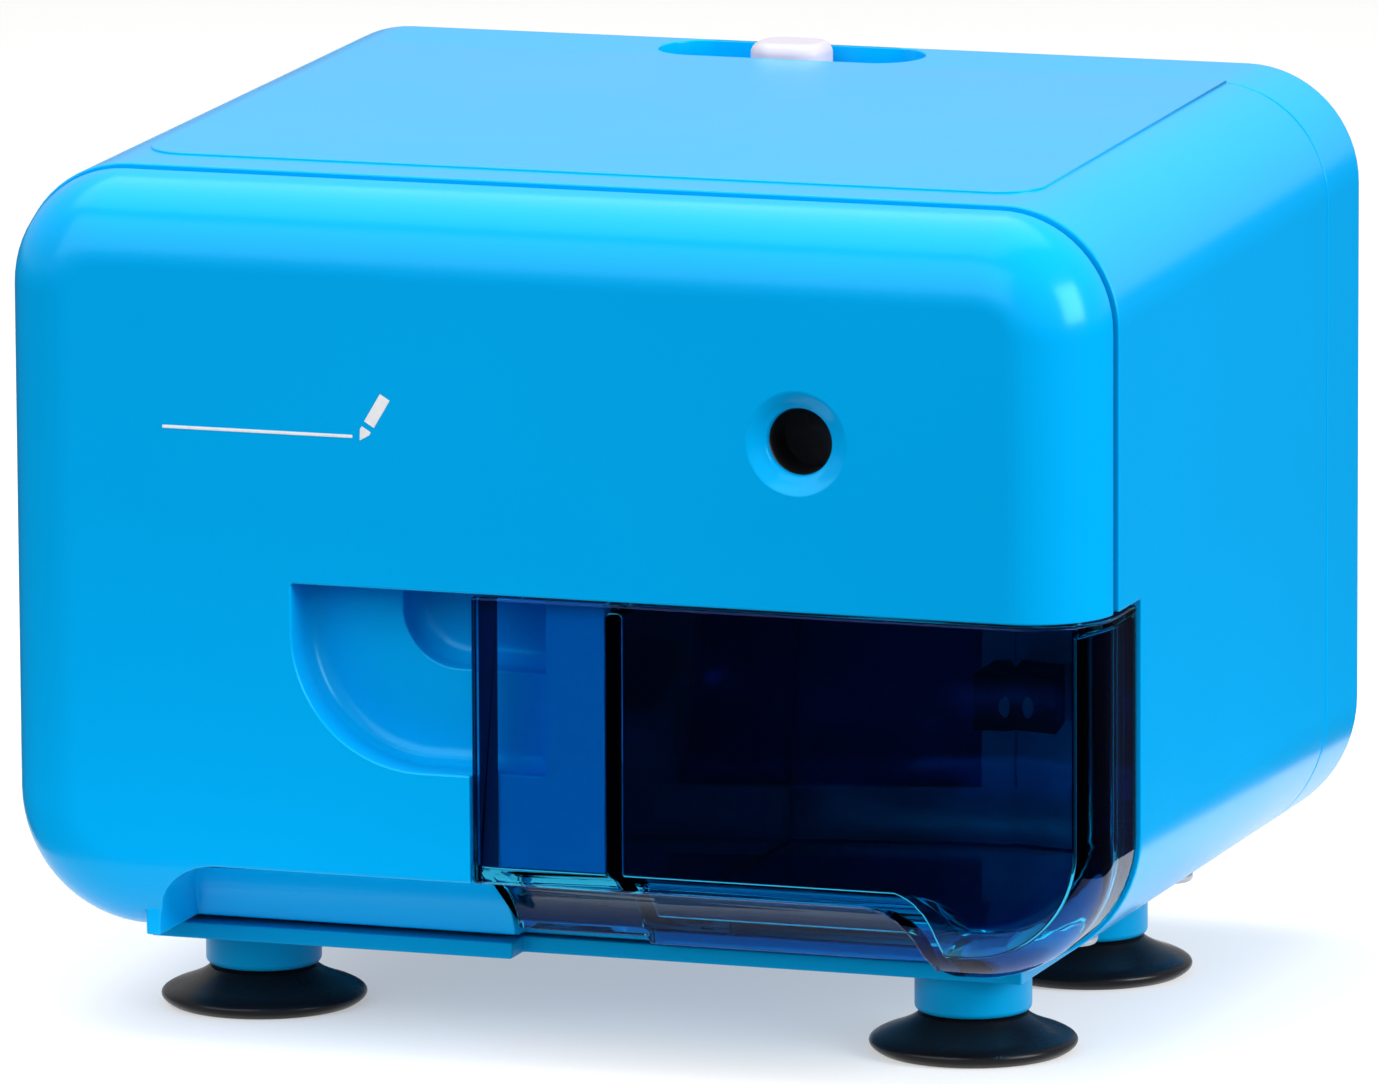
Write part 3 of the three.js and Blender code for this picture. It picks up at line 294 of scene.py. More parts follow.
finishes = {
    "shell_blue": moulded(
        "shell_blue",
        (0.0, 0.385, 0.84),
        0.2,
        spread=0.012,
        Specular_IOR_Level=0.3,
        Specular_Tint=(0.3, 0.9, 1.0, 1),
    ),
    # base_blue is the shell's blue made darker as painted shade: the low base plate sits in the
    # shadow under the casing.
    "base_blue": moulded(
        "base_blue",
        (0.0, 0.25, 0.52),
        0.36,
        spread=0.02,
        Specular_IOR_Level=0.25,
        Specular_Tint=(0.05, 0.7, 1.0, 1),
    ),
    "knob_white": moulded(
        "knob_white", (0.56, 0.53, 0.60), 0.4, spread=0.01, Specular_IOR_Level=0.3
    ),
    "black_plastic": moulded("black_plastic", (0.010, 0.010, 0.012), 0.42, 0.03 * MM, 0.2),
    "gear_plastic": moulded("gear_plastic", (0.72, 0.69, 0.60), 0.45, 0.02 * MM, 0.04),
    "board_green": moulded("board_green", (0.012, 0.13, 0.06), 0.5, 0.03 * MM, 0.15),
    "capacitor_blue": moulded("capacitor_blue", (0.02, 0.05, 0.22), 0.3),
}
print("moulded finishes:", ", ".join(sorted(finishes)))

# %% [markdown]
# Rubber is matt with a sheen where it turns away. Metals differ by how they were worked: turned
# parts have fine rings, sheet has a drawn grain, and castings are grainy. Stretching the noise
# along one axis turns it into a grain.

# %% Rubber and metals


def rubber(name, color, roughness):
    material, shader = shader_of(
        name, color, roughness, Sheen_Weight=0.01, Sheen_Roughness=0.4, Specular_IOR_Level=0.2
    )
    vary_roughness(material, shader, noise_of(material, 120, 4), roughness * 0.8, roughness * 1.25)
    add_bump(material, shader, noise_of(material, 1500, 3), 0.3, 0.03 * MM)
    return material


def worked_metal(name, color, roughness, stretch, grain=0.02 * MM):
    material, shader = shader_of(name, color, roughness, metallic=1.0)
    lines = noise_of(material, 400, 4, stretch)
    tint = tuple(channel * 0.86 for channel in color)
    vary_color(material, shader, noise_of(material, 60, 3), tint, color)
    vary_roughness(material, shader, lines, roughness * 0.7, roughness * 1.4)
    add_bump(material, shader, lines, 0.35, grain)
    return material


finishes.update(
    cup_rubber=rubber("cup_rubber", (0.0035, 0.0035, 0.005), 0.30),
    grommet_rubber=rubber("grommet_rubber", (0.012, 0.012, 0.014), 0.6),
    zinc_screw=worked_metal("zinc_screw", (0.62, 0.63, 0.64), 0.32, (1, 1, 1)),
    plated_sheet=worked_metal("plated_sheet", (0.55, 0.57, 0.58), 0.42, (1, 1, 12)),
    bright_steel=worked_metal("bright_steel", (0.66, 0.67, 0.68), 0.24, (1, 14, 1)),
    cutter_steel=worked_metal("cutter_steel", (0.45, 0.46, 0.48), 0.3, (1, 8, 1)),
    cast_carrier=worked_metal("cast_carrier", (0.50, 0.51, 0.52), 0.5, (1, 1, 1), 0.06 * MM),
    motor_steel=worked_metal("motor_steel", (0.50, 0.52, 0.53), 0.34, (1, 0.2, 1)),
    brass=worked_metal("brass", (0.70, 0.48, 0.18), 0.3, (1, 10, 1)),
)
print("finishes so far:", len(finishes))

# %% [markdown]
# The drawer is clear plastic with a smoky navy dye. Light that crosses a wall comes out tinted,
# so the walls look darker where more of them lie behind each other. The dye goes into the base
# colour of a fully transmitting shader, its reflections are tinted blue, and scuffs only touch
# the gloss.

# %% Smoke plastic
smoke, smoke_shader = shader_of(
    "smoke_plastic",
    (0.04, 0.57, 0.85),
    0.02,
    Transmission_Weight=1.0,
    IOR=1.4,
    Specular_IOR_Level=0.4,
    Specular_Tint=(0.16, 0.30, 1.0, 1),
)
vary_color(smoke, smoke_shader, noise_of(smoke, 30, 2), (0.037, 0.56, 0.84), (0.043, 0.58, 0.86))
vary_roughness(smoke, smoke_shader, noise_of(smoke, 90, 4), 0.01, 0.03)
add_bump(smoke, smoke_shader, noise_of(smoke, 700, 2), 0.15, 0.008 * MM)
finishes["smoke_plastic"] = smoke

# %% [markdown]
# The ink is a matt white. The floor glows a little, as a lit sweep does, so that it stays white
# between the shadows.

# %% Print and floor
print_white, print_shader = shader_of("print_white", (0.86, 0.88, 0.90), 0.45)
vary_color(
    print_white, print_shader, noise_of(print_white, 900, 3), (0.80, 0.82, 0.85), (0.9, 0.92, 0.94)
)

floor_paint, floor_shader = shader_of(
    "floor_white",
    (0.6, 0.6, 0.6),
    0.8,
    Specular_IOR_Level=0.0,
    Emission_Color=(1, 0.99, 0.98, 1),
    Emission_Strength=0.4,
)
vary_color(
    floor_paint, floor_shader, noise_of(floor_paint, 3, 2), (0.59, 0.59, 0.59), (0.61, 0.61, 0.61)
)
floor.data.materials.append(floor_paint)
print("smoke, print and floor added")

# %% [markdown]
# ## Shape helpers
# Every shell starts as a cube, is bevelled into its section and is then opened, thickened or cut.
# The helpers below fit a cube to a box, pick edges by a test, and hand a bmesh over as an object.

# %% Helpers for boxes and edges
TINY = 1e-6
FAR_OUT = 1.0


def cube_mesh(low, high):
    bm = bmesh.new()
    bmesh.ops.create_cube(bm, size=1.0)
    low, high = Vector(low), Vector(high)
    bmesh.ops.scale(bm, vec=high - low, verts=bm.verts)
    bmesh.ops.translate(bm, vec=(low + high) / 2, verts=bm.verts)
    return bm


def round_edges(bm, edges, radius, steps):
    bmesh.ops.bevel(
        bm,
        geom=edges,
        offset=radius,
        offset_type="OFFSET",
        segments=steps,
        profile=0.5,
        affect="EDGES",
        clamp_overlap=False,
        material=-1,
    )


def edges_along(bm, axis, test=lambda middle: True):
    found = []
    for edge in bm.edges:
        across = edge.verts[1].co - edge.verts[0].co
        middle = (edge.verts[0].co + edge.verts[1].co) / 2
        if abs(across[axis]) > across.length * 0.999 and test(middle):
            found.append(edge)
    return found


def edges_at(bm, axis, place):
    return [
        edge for edge in bm.edges if all(abs(v.co[axis] - place) < TINY for v in edge.verts)
    ]


def as_object(name, bm):
    bmesh.ops.recalc_face_normals(bm, faces=bm.faces)
    mesh = bpy.data.meshes.new(name)
    bm.to_mesh(mesh)
    bm.free()
    piece = bpy.data.objects.new(name, mesh)
    scene.collection.objects.link(piece)
    return piece


def box_tool(low, high, radius=0.0, steps=4):
    bm = cube_mesh(low, high)
    if radius:
        round_edges(bm, bm.edges[:], radius, steps)
    return as_object("tool", bm)


# %% [markdown]
# Holes and joins use the Boolean modifier, which is applied at once, so that a finished piece
# carries no live cutters. A small Bevel then breaks every sharp edge, since a moulded edge always
# catches a line of light, and Weighted Normal keeps the flats flat beside their fillets.

# %% Helpers for cutting and finishing
MERGE = 0.01 * MM
SHARP_ANGLE = 32


def apply_modifiers(piece):
    graph = bpy.context.evaluated_depsgraph_get()
    mesh = bpy.data.meshes.new_from_object(piece.evaluated_get(graph))
    piece.modifiers.clear()
    old = piece.data
    piece.data = mesh
    mesh.name = piece.name
    bpy.data.meshes.remove(old)


def combine(piece, operation, *tools):
    for tool in tools:
        modifier = piece.modifiers.new("combine", "BOOLEAN")
        modifier.operation = operation
        modifier.solver = "EXACT"
        modifier.object = tool
        apply_modifiers(piece)
        bpy.data.objects.remove(tool)
    return piece


def add_to(piece, *tools):
    return combine(piece, "UNION", *tools)


def cut_from(piece, *tools):
    return combine(piece, "DIFFERENCE", *tools)


def keep_in(piece, *tools):
    return combine(piece, "INTERSECT", *tools)


def thicken(piece, wall):
    modifier = piece.modifiers.new("wall", "SOLIDIFY")
    modifier.thickness = wall
    modifier.offset = -1
    modifier.use_even_offset = True
    apply_modifiers(piece)
    return piece


def clean(piece):
    """Merges the near doubles and drops the slivers that a Boolean can leave."""
    bm = bmesh.new()
    bm.from_mesh(piece.data)
    bmesh.ops.remove_doubles(bm, verts=bm.verts, dist=MERGE)
    bmesh.ops.dissolve_degenerate(bm, edges=bm.edges, dist=MERGE)
    bmesh.ops.recalc_face_normals(bm, faces=bm.faces)
    bm.to_mesh(piece.data)
    bm.free()


def finish_piece(piece, slot, body, *nodes, edge=0.25 * MM, steps=2):
    """Breaks the edges, gives the finish of a slot and makes the piece ride on a body."""
    clean(piece)
    if edge:
        bevel = piece.modifiers.new("edge", "BEVEL")
        bevel.width = edge
        bevel.segments = steps
        bevel.limit_method = "ANGLE"
        bevel.angle_limit = math.radians(SHARP_ANGLE)
        bevel.use_clamp_overlap = False
        bevel.miter_outer = "MITER_ARC"
    piece.data.polygons.foreach_set("use_smooth", [True] * len(piece.data.polygons))
    normals = piece.modifiers.new("normals", "WEIGHTED_NORMAL")
    normals.keep_sharp = True
    apply_modifiers(piece)
    piece.data.materials.clear()
    piece.data.materials.append(finishes[slot])
    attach(piece, body)
    if nodes:
        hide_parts(*nodes)
    print(piece.name, len(piece.data.polygons), "faces")


# %% [markdown]
# The casing's section is a cube with its four long edges rounded: 16 mm above and 19 mm below.
# The round ends are a second bevel round the end face. Last, the upper half climbs towards the
# rear, by moving the vertices in proportion to how far back they are.

# %% The casing's block


def casing_block(inset, y0, y1, front_round=0.0, rear_round=0.0, steps=14):
    bm = cube_mesh(
        (inset - HALF_WIDTH, y0, BOTTOM_Z + inset), (HALF_WIDTH - inset, y1, TOP_Z - inset)
    )
    above = edges_along(bm, 1, lambda middle: middle.z > MIDDLE_Z)
    round_edges(bm, above, TOP_CORNER - inset, steps)
    below = edges_along(bm, 1, lambda middle: middle.z < BOTTOM_Z + inset + TINY)
    round_edges(bm, below, BOTTOM_CORNER - inset, steps)
    for place, radius in ((y0, front_round), (y1, rear_round)):
        if radius:
            round_edges(bm, edges_at(bm, 1, place), radius, steps)
    for vert in bm.verts:
        if vert.co.z > MIDDLE_Z:
            vert.co.z += CLIMB * (vert.co.y - FRONT_Y) / DEPTH
    return bm


def open_end(bm, place, side):
    """Cuts the block with a plane across Y and leaves it open there."""
    bmesh.ops.bisect_plane(
        bm,
        geom=bm.verts[:] + bm.edges[:] + bm.faces[:],
        plane_co=(0, place, 0),
        plane_no=(0, side, 0),
        clear_outer=True,
    )
    return bm


# %% [markdown]
# The finger cove is scooped out of the front's lower edge. In section it is a quarter of an
# ellipse, so the tool is a cube with one round edge, stretched: it is bevelled while it is still
# square and then scaled in Y. Seen from the front the tool has a round left end and an S-shaped
# right end, which comes from a second tool, a plate whose corners are bevelled as vertices.

# %% Outline plates and the cove tool
COVE_TURN = 51 * MM
COVE_FOOT_RIGHT = 54.6 * MM
COVE_END = 66 * MM
COVE_ROUNDS = ((1, 9 * MM), (2, 5.5 * MM), (3, 5.5 * MM))


def outline_tool(points, y0, y1, corners=(), steps=10):
    """A plate across Y from an outline in X and Z. corners pairs a point's place and its radius."""
    bm = bmesh.new()
    verts = [bm.verts.new((x, y0, z)) for x, z in points]
    bm.faces.new(verts)
    for index, size in sorted(corners, reverse=True):
        x, z = points[index]
        corner = min(bm.verts, key=lambda v: (v.co - Vector((x, y0, z))).length)
        bmesh.ops.bevel(
            bm,
            geom=[corner],
            offset=size,
            offset_type="OFFSET",
            segments=steps,
            profile=0.5,
            affect="VERTICES",
            clamp_overlap=False,
            material=-1,
        )
    made = bmesh.ops.extrude_face_region(bm, geom=bm.faces[:])
    moved = [item for item in made["geom"] if isinstance(item, bmesh.types.BMVert)]
    bmesh.ops.translate(bm, vec=(0, y1 - y0, 0), verts=moved)
    return as_object("tool", bm)


def cove_tool(grow):
    rise = COVE_TOP + grow - COVE_FOOT
    reach = COVE_REACH + grow
    stretch = reach / rise
    bm = cube_mesh((-HALF_WIDTH, -rise, -3 * rise), (HALF_WIDTH, rise, rise))
    round_edges(bm, edges_along(bm, 0, lambda m: m.y > 0 and m.z > 0), rise - TINY, 16)
    bmesh.ops.scale(bm, vec=(1, stretch, 1), verts=bm.verts)
    bmesh.ops.translate(bm, vec=(0, FRONT_Y, COVE_FOOT), verts=bm.verts)
    tool = as_object("tool", bm)
    bottom = COVE_FOOT - 2.5 * rise
    face = [
        (COVE_LEFT - grow, bottom),
        (COVE_LEFT - grow, COVE_TOP + grow),
        (COVE_TURN + grow, COVE_TOP + grow),
        (COVE_FOOT_RIGHT + grow, BOTTOM_Z - 0.4 * MM),
        (COVE_END + grow, BOTTOM_Z - 1.2 * MM),
        (COVE_END + grow, bottom),
    ]
    return keep_in(tool, outline_tool(face, FRONT_Y - 9 * MM, FRONT_Y + 2 * reach, COVE_ROUNDS))


# %% [markdown]
# ## Front panel
# A shallow tray: the whole rim is one large fillet, which is what gives the front its soft look.
# The grip beside the drawer has two steps, each with a round floor edge, so its tool is a plate
# whose inner edges are bevelled. The pencil hole sits in a shallow dish, made by spinning a short
# profile.

# %% Front panel shell
PANEL_BACK = SEAM_Y - SEAM_GAP
PRINT_RISE = 0.04 * MM
bm = casing_block(
    PANEL_INSET, FRONT_Y + PRINT_RISE, SEAM_Y + 40 * MM, front_round=FRONT_FILLET, steps=16
)
front_panel = thicken(as_object("panel", open_end(bm, PANEL_BACK, 1)), WALL)
print("tray:", len(front_panel.data.polygons), "faces")

# %% [markdown]
# Each step of the grip is added as a solid block first and is cut out after that, one wall
# smaller, so that a wall stays behind it. The rebate is a step for the drawer's flange, and the
# backing closes the panel behind the cove.

# %% Grip, cove and rebate of the front panel
GRIP_RIGHT = 0.5 * MM
GRIP_FLOOR_ROUND = 2.6 * MM
REBATE_FRONT = FRONT_Y + 3.7 * MM
BIN_LEFT = 9.2 * MM
BACKING_DEPTH = 19.6 * MM
COVE_MARGIN = 2 * MM
grips = (
    # left, bottom, corner radius, depth
    (-34.4 * MM, 39.6 * MM, 18 * MM, 7.5 * MM),
    (-21.2 * MM, 52.6 * MM, 8 * MM, 12.5 * MM),
)


def grip_tool(left, bottom, corner, reach, grow, top):
    face = [
        (left - grow, bottom - grow),
        (GRIP_RIGHT + grow, bottom - grow),
        (GRIP_RIGHT + grow, top),
        (left - grow, top),
    ]
    front = FRONT_Y + PANEL_INSET if grow else FRONT_Y - 4 * MM
    return outline_tool(face, front, FRONT_Y + reach + grow, ((0, corner + grow),), 14)


def sloped_grip(left, bottom, corner, reach):
    tool = grip_tool(left, bottom, corner, reach, 0, OPENING_TOP)
    bm = bmesh.new()
    bm.from_mesh(tool.data)
    floor_edges = [
        edge
        for edge in edges_at(bm, 1, FRONT_Y + reach)
        if (edge.verts[0].co.z + edge.verts[1].co.z) / 2 < OPENING_TOP - TINY
    ]
    round_edges(bm, floor_edges, GRIP_FLOOR_ROUND, 5)
    bm.to_mesh(tool.data)
    bm.free()
    return tool


for left, bottom, corner, reach in grips:
    add_to(front_panel, grip_tool(left, bottom, corner, reach, WALL, OPENING_TOP + WALL))
backing = as_object(
    "tool", casing_block(PANEL_INSET, FRONT_Y + 3 * MM, FRONT_Y + BACKING_DEPTH)
)
keep_in(
    backing,
    box_tool(
        (COVE_LEFT - COVE_MARGIN, FRONT_Y, 0), (FLANGE_LEFT, 0, COVE_TOP + COVE_MARGIN)
    ),
)
rebate = box_tool(
    (FLANGE_LEFT - WALL, FRONT_Y + PANEL_INSET, COVE_TOP + COVE_MARGIN),
    (BIN_LEFT - GAP, REBATE_FRONT + WALL, OPENING_TOP + WALL),
)
add_to(front_panel, backing, rebate)
cut_from(
    front_panel,
    box_tool(
        (BIN_LEFT - GAP, FRONT_Y - FAR_OUT, -FAR_OUT), (FAR_OUT, SEAM_Y + 20 * MM, OPENING_TOP)
    ),
    box_tool((FLANGE_LEFT, FRONT_Y - FAR_OUT, -FAR_OUT), (FAR_OUT, REBATE_FRONT, OPENING_TOP)),
    cove_tool(0),
    *[sloped_grip(*grip) for grip in grips],
)
print("panel with grip and cove:", len(front_panel.data.polygons), "faces")

# %% [markdown]
# The dish and the bore are turned: a profile of radius and depth is spun about the pencil's axis.
# The same helper makes the guide, the suction cups, the grommet and the screws.

# %% Helper that turns a profile
ROUND_STEPS = 64


def turned(profile, centre, axis="Y", steps=ROUND_STEPS):
    """Spins [radius, height] points about the Y or Z axis through centre."""
    along = Vector((0, 1, 0)) if axis == "Y" else Vector((0, 0, 1))
    centre = Vector(centre)
    bm = bmesh.new()
    verts = [
        bm.verts.new(centre + Vector((radius, 0, 0)) + along * height)
        for radius, height in profile
    ]
    edges = [bm.edges.new(pair) for pair in zip(verts, verts[1:])]
    bmesh.ops.spin(
        bm, geom=verts + edges, cent=centre, axis=along, angle=2 * math.pi, steps=steps
    )
    bmesh.ops.remove_doubles(bm, verts=bm.verts, dist=TINY)
    return as_object("tool", bm)


def arc_points(centre, radius, start, end, steps=6):
    """Points on an arc in a profile, from one angle in degrees to another."""
    angles = [math.radians(start + (end - start) * i / steps) for i in range(steps + 1)]
    return [
        (centre[0] + radius * math.cos(a), centre[1] + radius * math.sin(a)) for a in angles
    ]


def curve_points(first, pull, last, steps=8):
    """Points on a smooth curve from first to last that leans towards pull."""
    found = []
    for i in range(steps + 1):
        t = i / steps
        found.append(
            tuple(
                a * (1 - t) ** 2 + 2 * b * t * (1 - t) + c * t * t
                for a, b, c in zip(first, pull, last)
            )
        )
    return found


# %% [markdown]
# The dish is a shallow curve that runs over a soft rim into the bore.

# %% Pencil hole in its dish
BORE = 4.45 * MM
DISH_RADIUS = 6.8 * MM
DISH_DEPTH = 1.1 * MM
dish = [(0, -MM), (DISH_RADIUS + 0.8 * MM, -MM), (DISH_RADIUS + 0.8 * MM, -0.01 * MM)]
dish += curve_points(
    (DISH_RADIUS + 0.5 * MM, 0), (DISH_RADIUS - 0.2 * MM, 0.1 * MM), (BORE + 0.7 * MM, DISH_DEPTH)
)
dish += curve_points(
    (BORE + 0.4 * MM, DISH_DEPTH + 0.1 * MM), (BORE, DISH_DEPTH + 0.2 * MM), (BORE, 2 * MM), 4
)
dish += [(BORE, 8 * MM), (0, 8 * MM)]
cut_from(front_panel, turned(dish, (HOLE_X, FRONT_Y, HOLE_Z)))

# %% [markdown]
# The print beside the hole is one underline and a small slanted pencil: a film of ink that stands
# 0.04 mm above the face and is its own piece, so that it keeps a crisp edge.

# %% Printed pencil mark
PRINT_DEPTH = 0.06 * MM


def slanted_bar(x, z, length, height, slope, tip=0.0):
    along = Vector((math.cos(slope), math.sin(slope)))
    across = Vector((-along.y, along.x))
    middle = Vector((x, z))
    half = along * length / 2
    corners = [middle - half - across * height / 2, middle + half - across * height / 2]
    if tip:
        corners.append(middle + half + along * tip)
    corners += [middle + half + across * height / 2, middle - half + across * height / 2]
    return [(c.x, c.y) for c in corners]


SLANT = math.radians(239)
marks = [
    slanted_bar(-38.9 * MM, 84.6 * MM, 27 * MM, 0.42 * MM, 0.0),
    slanted_bar(-21.9 * MM, 88.2 * MM, 4.4 * MM, 1.6 * MM, SLANT),
    slanted_bar(-23.55 * MM, 85.45 * MM, 0.5 * MM, 1.5 * MM, SLANT, 1.3 * MM),
]
prints = outline_tool(marks[0], FRONT_Y, FRONT_Y + PRINT_DEPTH)
for mark in marks[1:]:
    add_to(prints, outline_tool(mark, FRONT_Y, FRONT_Y + PRINT_DEPTH))
prints.name = "printed_mark"
finish_piece(prints, "knob_white", "casing", edge=0)
prints.data.materials[0] = print_white

front_panel.name = "front_panel_shell"
finish_piece(front_panel, "shell_blue", "casing", "front_panel", edge=0.3 * MM, steps=3)

# %% [markdown]
# ## Main housing
# A tube between the two seams. It stands 0.4 mm proud of the panel in front, and its bright lip
# and the dark gap before it are what reads as the seam. On top lies a thin raised lid with round
# front corners, a piece of its own.

# %% Main housing
bm = casing_block(0, SEAM_Y - 40 * MM, REAR_SEAM_Y + 40 * MM, steps=16)
open_end(bm, REAR_SEAM_Y, 1)
open_end(bm, SEAM_Y, -1)
housing = thicken(as_object("housing", bm), WALL)

LID_SIDE = HALF_WIDTH - 14.5 * MM
LID_FRONT = FRONT_Y + 19.5 * MM
LID_CORNER = 6 * MM
LID_EDGE = 0.15 * MM
bm = cube_mesh((-LID_SIDE, LID_FRONT, TOP_Z - WALL), (LID_SIDE, REAR_SEAM_Y, TOP_Z + LID_HEIGHT))
round_edges(bm, edges_along(bm, 2, lambda m: m.y < 0), LID_CORNER, 12)
rim = [
    edge
    for edge in edges_at(bm, 2, TOP_Z + LID_HEIGHT)
    if not all(abs(v.co.y - REAR_SEAM_Y) < TINY for v in edge.verts)
]
round_edges(bm, rim, LID_EDGE, 2)
for vert in bm.verts:
    vert.co.z += CLIMB * (vert.co.y - FRONT_Y) / DEPTH
finish_piece(as_object("main_housing_lid", bm), "shell_blue", "casing", edge=0)

# %% [markdown]
# The drawer's opening, the room for the cove and the hole in the floor are cut last. The floor's
# hole lets the mechanism stand on the base plate.

# %% Openings of the main housing
FLOOR_SIDE = HALF_WIDTH - 23.5 * MM
FLOOR_FRONT = FRONT_Y + 25.9 * MM
FLOOR_BACK = REAR_SEAM_Y - 4 * MM
COVE_ROOM = 2.3 * MM
cut_from(
    housing,
    box_tool(
        (FLANGE_LEFT - GAP, SEAM_Y - MM, 0), (FAR_OUT, WRAP_BACK + GAP, OPENING_TOP + GAP)
    ),
    box_tool((-FLOOR_SIDE, FLOOR_FRONT, 0), (FLOOR_SIDE, FLOOR_BACK, BOTTOM_Z + WALL + MM)),
    cove_tool(COVE_ROOM),
)
housing.name = "main_housing_shell"
finish_piece(housing, "shell_blue", "casing", "main_housing", edge=0.3 * MM, steps=3)

# %% [markdown]
# ## Rear cover
# The cover closes the back with a small fillet. The selector's slot is a stadium cut out of its
# top edge, with its own floor, and a narrow way through that floor for the knob's stem.

# %% Rear cover
SLOT_X = (knob_low.x + knob_high.x) / 2
SLOT_Y = REAR_Y - 7.8 * MM
SLOT_HALF = 19.3 * MM
SLOT_WIDE = 6.2 * MM
SLOT_TOP = TOP_Z + CLIMB * (SLOT_Y - FRONT_Y) / DEPTH
SLOT_FLOOR = SLOT_TOP - 3.4 * MM
STEM_Y = SLOT_Y + 2.6 * MM
WAY_LONG, WAY_WIDE = 15.5 * MM, 1.7 * MM
END_SLACK = 0.01 * MM
TOUCHING = 0.00005 * MM


def stadium_tool(half_length, half_width, low, high):
    bm = cube_mesh(
        (SLOT_X - half_length, SLOT_Y - half_width, low),
        (SLOT_X + half_length, SLOT_Y + half_width, high),
    )
    round_edges(bm, edges_along(bm, 2), half_width - END_SLACK, 14)
    bmesh.ops.remove_doubles(bm, verts=bm.verts, dist=TOUCHING)
    return as_object("tool", bm)


cover = as_object(
    "cover", casing_block(0, cover_low.y, REAR_Y, rear_round=REAR_FILLET, steps=16)
)
cut_from(
    cover, as_object("tool", casing_block(WALL, cover_low.y - 9 * MM, REAR_Y - WALL, steps=16))
)
bed = keep_in(
    stadium_tool(SLOT_HALF + WALL, SLOT_WIDE + MM, SLOT_FLOOR - 2 * MM, SLOT_TOP - MM),
    box_tool((-FAR_OUT, cover_low.y, 0), (FAR_OUT, REAR_Y - MM, FAR_OUT)),
)
add_to(cover, bed)
cut_from(
    cover,
    stadium_tool(SLOT_HALF, SLOT_WIDE, SLOT_FLOOR, SLOT_TOP + 9 * MM),
    box_tool(
        (SLOT_X - WAY_LONG, STEM_Y - WAY_WIDE, SLOT_FLOOR - 9 * MM),
        (SLOT_X + WAY_LONG, STEM_Y + WAY_WIDE, SLOT_TOP),
    ),
)
print("cover with its slot:", len(cover.data.polygons), "faces")

# %% [markdown]
# The grommet and each screw sit in a turned hole: a wide seat, then a narrow way through the
# wall.

# %% Holes of the rear cover
grommet_low, grommet_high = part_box("cord_grommet")
grommet_x = (grommet_low.x + grommet_high.x) / 2
grommet_z = (grommet_low.z + grommet_high.z) / 2
hole = [(0, -9 * MM), (4.8 * MM, -9 * MM), (4.8 * MM, -1.4 * MM), (9 * MM, -1.4 * MM)]
hole += [(9 * MM, MM), (0, MM)]
cut_from(cover, turned(hole, (grommet_x, REAR_Y, grommet_z)))
seat = [(0, -9 * MM), (1.8 * MM, -9 * MM), (1.8 * MM, -1.6 * MM), (3.5 * MM, -1.6 * MM)]
seat += [(3.5 * MM, MM), (0, MM)]
for number in SCREWS:
    low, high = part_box(f"rear_screw_{number}")
    cut_from(cover, turned(seat, ((low.x + high.x) / 2, REAR_Y, (low.z + high.z) / 2), steps=40))
cover.name = "rear_cover_shell"
finish_piece(cover, "shell_blue", "casing", "rear_cover", edge=0.25 * MM, steps=3)

# %% [markdown]
# ## Drawer
# One clear moulding: a front that wraps the corner with walls of 3.4 mm, the bin behind it, and
# the cove's own wall below. Its thickness matters, because the light bends at both sides of it.

# %% Front of the drawer
DUST_WALL = 3.4 * MM
WRAP_LAP = 1.35 * MM
BIN_OUT = WALL + 0.5 * MM
BIN_WALL = 2 * MM
BIN_TOP = 62 * MM
BIN_TRIM = 0.5 * MM
ROOM_TRIM = 0.3 * MM
COVE_TRIM = 0.2 * MM
BIN_BACK = drawer_high.y
FACE_LEFT = drawer_low.x
FACE_TOP = drawer_high.z


def panel_space(back):
    """The room inside the wrapped front, for what must not show through it."""
    inset = PANEL_INSET + MM
    return as_object("tool", casing_block(inset, FRONT_Y + MM, back, front_round=FRONT_FILLET - MM))


drawer = as_object(
    "drawer",
    casing_block(PANEL_INSET, FRONT_Y, WRAP_BACK, front_round=FRONT_FILLET, steps=16),
)
hollow = casing_block(
    DUST_WALL,
    FRONT_Y + DUST_WALL,
    WRAP_BACK + 20 * MM,
    front_round=FRONT_FILLET - DUST_WALL,
    steps=16,
)
cut_from(drawer, as_object("tool", hollow))
keep_in(drawer, box_tool((FACE_LEFT, FRONT_Y - MM, 0), (FAR_OUT, FAR_OUT, FACE_TOP)))
cut_from(
    drawer,
    box_tool((-FAR_OUT, SEAM_Y - WRAP_LAP, 0), (BIN_LEFT + BIN_TRIM, FAR_OUT, FAR_OUT)),
)
print("wrapped front:", len(drawer.data.polygons), "faces")

# %% [markdown]
# The bin is a block with its room cut out, and both end inside the wrapped front. The small trims
# keep the faces of two blocks apart, because a Boolean fails on faces that share a plane.

# %% Bin of the drawer
bin_shell = keep_in(
    as_object("bin", casing_block(BIN_OUT, FRONT_Y - 5 * MM, BIN_BACK + 40 * MM, steps=16)),
    box_tool((BIN_LEFT, FRONT_Y + 2 * MM, 0), (FAR_OUT, BIN_BACK, BIN_TOP)),
    panel_space(BIN_BACK + 90 * MM),
)
room = keep_in(
    as_object("tool", casing_block(BIN_OUT + BIN_WALL, FRONT_Y, REAR_Y, steps=16)),
    box_tool(
        (BIN_LEFT + BIN_WALL, FRONT_Y + DUST_WALL - ROOM_TRIM, 0),
        (FAR_OUT, BIN_BACK - BIN_WALL, FAR_OUT),
    ),
)
cut_from(bin_shell, room)
cove_wall = keep_in(
    cove_tool(2 * MM),
    box_tool((FACE_LEFT + COVE_TRIM, FRONT_Y, BOTTOM_Z), (FAR_OUT, REAR_Y, FACE_TOP)),
    panel_space(REAR_Y),
)
add_to(drawer, bin_shell, cove_wall)
cut_from(drawer, cove_tool(0))
